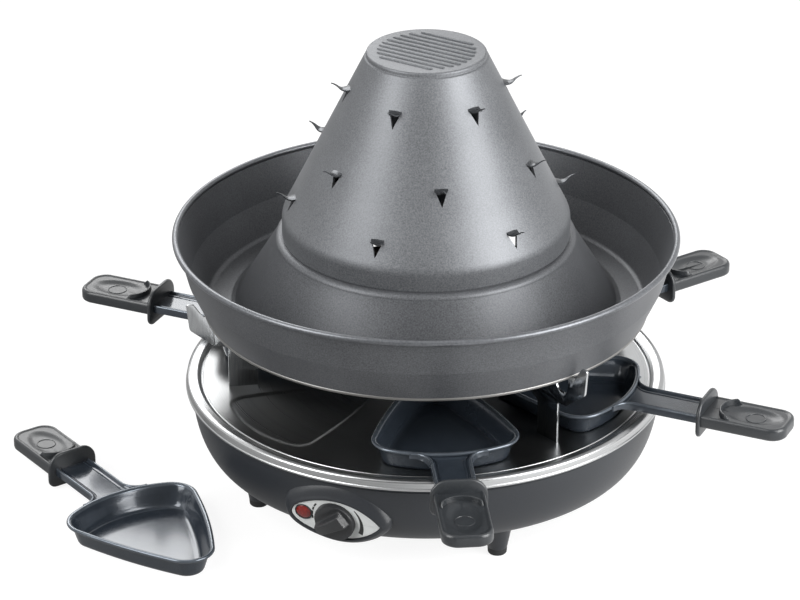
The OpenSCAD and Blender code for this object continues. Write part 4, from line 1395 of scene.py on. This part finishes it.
def nearest_on_loop(spot: Vector, corners: Sequence[Vector]) -> Vector:
    """Closest point on a closed outline.

    Args:
        spot: The point to start from.
        corners: The outline's corners.

    Returns:
        The closest point.
    """
    best = None
    for i, a in enumerate(corners):
        edge = corners[(i + 1) % len(corners)] - a
        t = min(1.0, max(0.0, (spot - a).dot(edge) / edge.length_squared))
        found = a + edge * t
        if best is None or (found - spot).length < (best - spot).length:
            best = found
    return best


@dataclass
class Pan:
    """Raclette pan with a rolled rim, a channel neck and a plastic grip with a guard."""

    width: float = 94.0
    depth: float = 16.0
    out_r: float = 145.5
    back_r: float = 85.0
    corner_r: float = 18.0
    tip_r: float = 18.0
    taper: float = 24.0
    bow: float = 6.5
    seat_z: float = 74.2
    loose_at: Point3 = (-119.0, -178.0, 0.0)
    loose_turn: float = 126.0
    neck_half: float = 13.0
    neck_plate: float = 13.7
    flare_r: float = 12.0
    rail_z: float = 14.6
    rail_r: float = 0.95
    guard_x: float = 195.5
    guard_t: float = 2.8
    guard_half: float = 18.0
    guard_mid: float = 13.1
    guard_down: float = -11.5
    guard_up: float = 12.5
    grip_end: float = 253.5
    grip_half: float = 16.0
    grip_low: float = 8.85
    grip_top: float = 17.35
    grip_round: float = 10.0
    border_w: float = 3.2
    border_h: float = 0.7
    thumb_x: float = 228.5
    thumb_l: float = 21.0
    thumb_w: float = 11.5
    thumb_depth: float = 1.7
    lip_x: float = 217.0
    mark_x: float = 230.5
    mark_r: float = 6.2

    @property
    def face(self) -> float:
        """Height of the grip's top inside its raised border."""
        return self.grip_top - self.border_h

    @property
    def neck_x(self) -> float:
        """Where the neck starts under the rim."""
        return self.out_r - 3.4

    def outline(self, grow: float, fine: int = 12) -> list[Point2]:
        """Outline of the pan: four arcs on each side of its long axis.

        Args:
            grow: Distance outwards from the rim's outer edge.
            fine: Number of steps in a corner's arc.

        Returns:
            The outline's points, counted anticlockwise from the middle of the wide side.
        """
        a1 = math.degrees(math.asin((self.width / 2 - self.corner_r) / (self.back_r - self.corner_r)))
        a2 = 90 + self.taper - self.bow
        a3 = 90 + self.taper + self.bow
        s1, s2, s3 = (math.sin(math.radians(a)) for a in (a1, a2, a3))
        side_r = (self.back_r * s1 + self.corner_r * (s2 - s1) - self.tip_r * s3) / (s2 - s3)
        c1 = Vector((self.out_r - self.back_r, 0))
        c2 = c1 + (self.back_r - self.corner_r) * toward(a1)
        c3 = c2 + (self.corner_r - side_r) * toward(a2)
        c4 = c3 + (side_r - self.tip_r) * toward(a3)
        half = arc(tuple(c1), self.back_r + grow, 0, a1, fine)
        half += arc(tuple(c2), self.corner_r + grow, a1, a2, fine)[1:]
        half += arc(tuple(c3), side_r + grow, a2, a3, fine)[1:]
        half += arc(tuple(c4), self.tip_r + grow, a3, 180, fine)[1:]
        return half + [(x, -y) for x, y in reversed(half[1:-1])]

    def dish(self) -> Shape:
        """Builds the pan's bowl up to its rolled edge.

        Returns:
            The bowl's shape.
        """
        h = self.depth
        outer = ((-11.0, 0.0), (-9.5, 0.0), (-8.2, 0.35), (-7.3, 1.0), (-6.7, 2.0), (-6.3, 3.2), (-5.4, 6.0),
                 (-4.2, 10.0), (-3.3, h - 3.4), (-2.9, h - 2.6))
        inner = ((-3.3, h - 1.3), (-4.0, h - 2.5), (-5.3, 10.0), (-6.6, 6.0), (-7.6, 3.6), (-8.3, 2.4),
                 (-9.4, 1.6), (-11.0, 1.25), (-13.0, 1.2))
        return loft(layers(self.outline, outer + inner))

    def edge(self) -> Shape:
        """Builds the rolled edge of the bowl.

        Returns:
            The edge's shape.
        """
        h = self.depth
        stations = ((-3.0, h - 2.8), (-2.2, h - 2.5), (-1.0, h - 2.4), (-0.35, h - 2.1), (0.0, h - 1.5),
                    (0.0, h - 0.9), (-0.3, h - 0.3), (-0.9, h), (-1.7, h - 0.05), (-2.5, h - 0.4),
                    (-3.3, h - 1.1), (-3.6, h - 2.0), (-3.0, h - 2.8))
        return loft(layers(self.outline, stations), caps=False)

    def neck_line(self) -> list[Point2]:
        """Half width of the neck along its length, wide where it flares into the rim.

        Returns:
            Distance along the pan's axis and half width of each point.
        """
        start = self.neck_x
        end = self.guard_x + 2
        xs = [start + self.flare_r * (1 - math.cos(math.pi / 2 * i / 12)) for i in range(13)]
        xs += [start + self.flare_r + 3 + i * (end - start - self.flare_r - 3) / 10 for i in range(11)]
        line = []
        for x in xs:
            t = min(1.0, (x - start) / self.flare_r)
            line.append((x, self.neck_half + self.flare_r * (1 - math.sqrt(max(0.0, 1 - (1 - t) ** 2)))))
        return line

    def rails(self) -> Shape:
        """Builds the two rolled edges that sweep from the rim along the neck.

        Returns:
            The rails' shape.
        """
        line = [Vector((x, half - 0.9)) for x, half in self.neck_line()]
        both = Shape()
        for sign in (-1, 1):
            rings = []
            for i, spot in enumerate(line):
                along = line[min(i + 1, len(line) - 1)] - line[max(i - 1, 0)]
                side = Vector((along.y, -along.x)).normalized()
                lift = 0.5 * (1 - ease((spot.x - self.neck_x) / 16))
                rings.append([(spot.x + side.x * w, sign * (spot.y + side.y * w), self.rail_z + lift + z)
                              for w, z in arc((0, 0), self.rail_r, 0, 330, 11)])
            both.add(loft(rings))
        return both

    def neck(self) -> Shape:
        """Builds the neck: a channel whose edges flare into the rim.

        Returns:
            The neck's shape.
        """
        plate = self.neck_plate
        rings = []
        for x, half in self.neck_line():
            top = 15.2 + 0.6 * (1 - ease((x - self.neck_x) / 16))
            low = 10.2 + 1.6 * (1 - ease((x - self.neck_x) / 9))
            side = [(half, low), (half, top - 0.9), (half - 0.35, top - 0.25), (half - 1.0, top),
                    (half - 1.7, top - 0.2), (half - 2.3, plate + 0.4), (half - 2.8, plate),
                    (half - 4.0, plate), (half - 4.3, plate + 0.55), (half - 4.9, plate + 0.55),
                    (half - 5.2, plate), (half - 6.0, plate)]
            under = [(half - 2.0, plate - 1.4), (half - 1.7, low + 0.2)]
            loop = side + [(-y, z) for y, z in reversed(side)]
            loop += [(-y, z) for y, z in reversed(under)] + under
            rings.append([(x, y, z) for y, z in loop])
        return loft(rings)

    def grip_outline(self, inset: float) -> list[Point2]:
        """Outline of the grip: straight sides and a rounded far end.

        Args:
            inset: Distance inwards from the grip's sides.

        Returns:
            The outline's points.
        """
        half = self.grip_half - inset
        end = self.grip_end - inset
        r = max(min(self.grip_round - 0.55 * inset, half * 0.98), 0.05)
        near = self.guard_x + self.guard_t / 2
        side = [(near + (end - r - near) * i / 40, -half) for i in range(41)]
        corner = arc((end - r, r - half), r, -90, 0, 16)[1:]
        front = [(end, (r - half) * (1 - i / 8)) for i in range(1, 9)]
        lower = side + corner + front
        return lower + [(x, -y) for x, y in reversed(lower[:-1])]

    def thumb(self, x: float, y: float) -> float:
        """Depth of the thumb dish at a point of the grip's top."""
        span = ((x - self.thumb_x) / self.thumb_l) ** 2 + (y / self.thumb_w) ** 2
        return self.thumb_depth * ease((1 - span) * 1.3) if span < 1 else 0.0

    def grip(self) -> Shape:
        """Builds the grip with its thumb dish, lip, round mark and guard.

        Returns:
            The grip's shape.
        """
        low, top = self.grip_low, self.grip_top
        stations = [(2.2, low), (1.0, low + 0.25), (0.3, low + 0.9), (0.0, low + 2.0), (0.0, top - 2.2),
                    (0.2, top - 1.2), (0.7, top - 0.4), (1.3, top), (1.9, top - 0.05), (2.6, top - 0.5)]
        rings = [[(x, y, z) for x, y in self.grip_outline(inset)] for inset, z in stations]
        for i in range(21):
            outline = self.grip_outline(self.border_w + 0.62 * i)
            rings.append([(x, y, self.face - self.thumb(x, y)) for x, y in outline])
        return loft(rings).add(self.lip()).add(self.mark()).add(self.guard())

    def lip(self) -> Shape:
        """Builds the half-moon lip that stops the thumb short of the guard.

        Returns:
            The lip's shape.
        """
        steps = 32
        low = self.grip_top - 2.5
        rings = []
        for i in range(steps + 1):
            a = math.radians(92 + 176 * i / steps)
            spot = Vector((self.lip_x + 9.5 * math.cos(a), 12.4 * math.sin(a)))
            out = Vector((math.cos(a), math.sin(a) * 0.75)).normalized()
            fade = ease(min(i, steps - i) / 3)
            high = self.face - self.thumb(spot.x, spot.y) + 0.5 + 2.9 * fade
            section = ((1.1, low), (0.9, high - 0.6), (0.6, high - 0.1), (0.1, high), (-0.3, high - 0.3),
                       (-0.6, low))
            rings.append([(spot.x + out.x * w, spot.y + out.y * w, z) for w, z in section])
        return loft(rings)

    def mark(self) -> Shape:
        """Builds the fine raised circle in the thumb dish.

        Returns:
            The circle's shape.
        """
        ring = revolve(arc((self.mark_r, 0), 0.36, 0, 330, 8), 48)
        base = self.face - self.thumb(self.mark_x, 0) + 0.02
        return ring.moved(Matrix.Translation((self.mark_x, 0, base)))

    def guard(self) -> Shape:
        """Builds the arched guard with rounded edges.

        Returns:
            The guard's shape.
        """
        rings = []
        for inset, x in ((0.9, 0.0), (0.3, 0.3), (0.0, 0.9), (0.0, 1.9), (0.3, 2.5), (0.9, self.guard_t)):
            w = self.guard_half - inset
            low = self.guard_down + inset
            high = self.guard_up - inset
            outline = rounded([(-w, low, 5), (w, low, 5), (w, high, 11), (-w, high, 11)], steps=10)
            rings.append([(self.guard_x + x + 0.5 * (y / self.guard_half) ** 2, y, self.guard_mid + z)
                          for y, z in outline])
        return loft(rings)

    def where(self, place: Place) -> Matrix:
        """Matrix of a pan at one of its places.

        Args:
            place: The place.

        Returns:
            The matrix in millimetres.
        """
        if place.turn is None:
            return Matrix.Translation(self.loose_at) @ about_z(self.loose_turn)
        return about_z(place.turn) @ Matrix.Translation((0, 0, self.seat_z))

    def build(self) -> None:
        """Builds every pan and its grip at its place."""
        metal = self.dish().add(self.neck())
        edge = self.edge().add(self.rails())
        plastic = self.grip()
        for place in Place:
            name = place.label
            body = "pan_" + name
            spot = self.where(place)
            build_piece("pan_metal_" + name, metal.moved(spot), PAN_COATING, body, "coated_pan_steel",
                        "raclette_pan_" + name, sharp=45.0)
            # Rolled edge and rails take the paler coat, a painted highlight.
            build_piece("pan_edge_" + name, edge.moved(spot), PAN_EDGE_HIGHLIGHT, body, "coated_pan_steel", sharp=60.0)
            build_piece("grip_moulding_" + name, plastic.moved(spot), GRIP_PLASTIC, body, "grip_plastic",
                        "pan_grip_" + name, sharp=40.0)


def dress_inner_parts(nodes: dict[str, bpy.types.Object]) -> None:
    """Gives the CAD nodes that stay in view their materials.

    Args:
        nodes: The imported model's nodes by name.
    """
    groups = ((PLATED_STEEL, ("heat_shield", "tray_spacers", "tray_screws", "heater_terminals",
                              "thermostat_shaft")),
              (STEATITE, ("terminal_block", "thermal_fuse")),
              (SWITCH_PLASTIC, ("thermostat", "lamp_body")),
              (BROWN_WIRE, ("live_wire",)),
              (BLACK_WIRE, ("switched_wire",)),
              (BLUE_WIRE, ("neutral_wire", "lamp_wire")))
    for finish, names in groups:
        for name in names:
            mesh = nodes[name].data
            if mesh.materials:
                mesh.materials[0] = finish.material()
            else:
                mesh.materials.append(finish.material())
            LOG.info("%s keeps its solid", name)


@dataclass
class Studio:
    """White sweep, soft boxes and the camera, in metres."""

    camera_at: Point3 = (0.0, -2.2, 1.1855)
    pitch: float = 25.69
    yaw: float = 0.0077
    lens: float = 167.53
    world_level: float = 0.2
    world_span: Point2 = (-0.9, 0.1)
    world_mirror: Point2 = (0.1, 1.0)
    floor_half: float = 6.0
    floor_white: float = 0.88
    floor_grey: float = 0.22
    floor_span: Point2 = (-0.15, 0.2)
    floor_mirror: Point2 = (0.25, 1.0)

    def camera(self) -> None:
        """Places the camera at the photograph's angle."""
        data = bpy.data.cameras.new("Camera")
        data.lens = self.lens
        data.sensor_width = 36.0
        data.sensor_fit = "HORIZONTAL"
        data.clip_end = 50.0
        camera = in_scene("Camera", data)
        camera.location = self.camera_at
        camera.rotation_euler = (math.radians(90 - self.pitch), 0.0, self.yaw)
        bpy.context.scene.camera = camera

    def lamp(self, name: str, at: Point3, aim: Point3, size: Point2, power: float) -> None:
        """Hangs one soft box.

        Args:
            name: Its name.
            at: Its place in metres.
            aim: The point that it faces.
            size: Its width and height in metres.
            power: Its power in watts.
        """
        data = bpy.data.lights.new(name, "AREA")
        data.shape = "RECTANGLE"
        data.size, data.size_y = size
        data.energy = power
        lamp = in_scene(name, data)
        lamp.location = at
        lamp.rotation_euler = (Vector(aim) - Vector(at)).to_track_quat("-Z", "Y").to_euler()

    def lights(self) -> None:
        """Hangs the soft boxes: one at each side and one behind on the left."""
        self.lamp("Left box", (-1.3, -0.85, 1.05), (0, 0, 0.16), (0.9, 1.4), 27.0)
        self.lamp("Right box", (1.2, -0.75, 0.72), (0, 0, 0.16), (1.0, 1.2), 36.0)
        self.lamp("Back box", (-0.6, 2.0, 1.5), (0, 0, 0.1), (1.7, 0.9), 25.0)

    def mirrored(self, path: bpy.types.Node, along: bpy.types.NodeSocket, span: Point2,
                 levels: Point2) -> bpy.types.NodeSocket:
        """Adds the white that only reflections see, which grows along one axis.

        Args:
            path: The tree's light path node.
            along: The socket with the place on that axis.
            span: Where the white starts and stops growing.
            levels: Its strength at those two places.

        Returns:
            The strength's socket.
        """
        tree = path.id_data
        level = add_node(tree, "ShaderNodeMapRange", {"From Min": span[0], "From Max": span[1],
                                                      "To Min": levels[0], "To Max": levels[1]},
                         {"Value": along})
        seen = add_node(tree, "ShaderNodeMath", {"operation": "MULTIPLY"},
                        {0: path.outputs["Is Glossy Ray"], 1: level.outputs["Result"]})
        return seen.outputs[0]

    def world(self) -> None:
        """Makes the white surroundings that the camera and the metal see."""
        world = bpy.data.worlds.new("Studio")
        bpy.context.scene.world = world
        world.use_nodes = True
        tree = world.node_tree
        tree.nodes.clear()
        path = add_node(tree, "ShaderNodeLightPath")
        seen = add_node(tree, "ShaderNodeMath", {"operation": "MAXIMUM"},
                        {0: path.outputs["Is Camera Ray"], 1: path.outputs["Is Transmission Ray"]})
        place = add_node(tree, "ShaderNodeTexCoord")
        apart = add_node(tree, "ShaderNodeSeparateXYZ", links={0: place.outputs["Generated"]})
        shine = self.mirrored(path, apart.outputs["Y"], self.world_span, self.world_mirror)
        level = add_node(tree, "ShaderNodeMath", {"operation": "MAXIMUM"}, {0: seen.outputs[0], 1: shine})
        strength = add_node(tree, "ShaderNodeMapRange", {"To Min": self.world_level, "To Max": 1.0},
                            {"Value": level.outputs[0]})
        back = add_node(tree, "ShaderNodeBackground", {"Color": (1, 1, 1, 1)},
                        {"Strength": strength.outputs[0]})
        add_node(tree, "ShaderNodeOutputWorld", links={"Surface": back.outputs[0]})

    def floor(self) -> None:
        """Lays the pale floor, which keeps the grill's shadow."""
        mesh = bpy.data.meshes.new("floor")
        half = self.floor_half
        mesh.from_pydata([(-half, -half, 0), (half, -half, 0), (half, half, 0), (-half, half, 0)], [],
                         [(0, 1, 2, 3)])
        floor = in_scene("floor", mesh)
        made = bpy.data.materials.new("White sweep")
        made.use_nodes = True
        tree = made.node_tree
        tree.nodes.clear()
        path = add_node(tree, "ShaderNodeLightPath")
        place = add_node(tree, "ShaderNodeTexCoord")
        apart = add_node(tree, "ShaderNodeSeparateXYZ", links={0: place.outputs["Object"]})
        shine = self.mirrored(path, apart.outputs["X"], self.floor_span, self.floor_mirror)
        seen = add_node(tree, "ShaderNodeMath", {"operation": "MULTIPLY_ADD", 1: self.floor_white},
                        {0: path.outputs["Is Camera Ray"], 2: shine})
        glow = add_node(tree, "ShaderNodeEmission", {"Color": (1, 1, 1, 1)}, {"Strength": seen.outputs[0]})
        grey = self.floor_grey
        paper = add_node(tree, "ShaderNodeBsdfDiffuse", {"Color": (grey, grey, grey, 1)})
        both = add_node(tree, "ShaderNodeAddShader", links={0: glow.outputs[0], 1: paper.outputs[0]})
        add_node(tree, "ShaderNodeOutputMaterial", links={"Surface": both.outputs[0]})
        mesh.materials.append(made)

    def build(self) -> None:
        """Sets up the camera, the lights and the surroundings."""
        self.camera()
        self.lights()
        self.world()
        self.floor()
        bpy.context.scene.view_settings.view_transform = "Standard"


def main() -> None:
    """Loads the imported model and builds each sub-assembly."""
    logging.basicConfig(level=logging.INFO, format="%(message)s")
    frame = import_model()
    Studio().build()
    ring = RingArray()
    pan = Pan()
    Base().build(ring, pan)
    Stand().build()
    Controls().build(ring)
    BrothPan().build()
    Hat().build(ring)
    pan.build()
    dress_inner_parts(frame["nodes"])


if __name__ == "__main__":
    main()
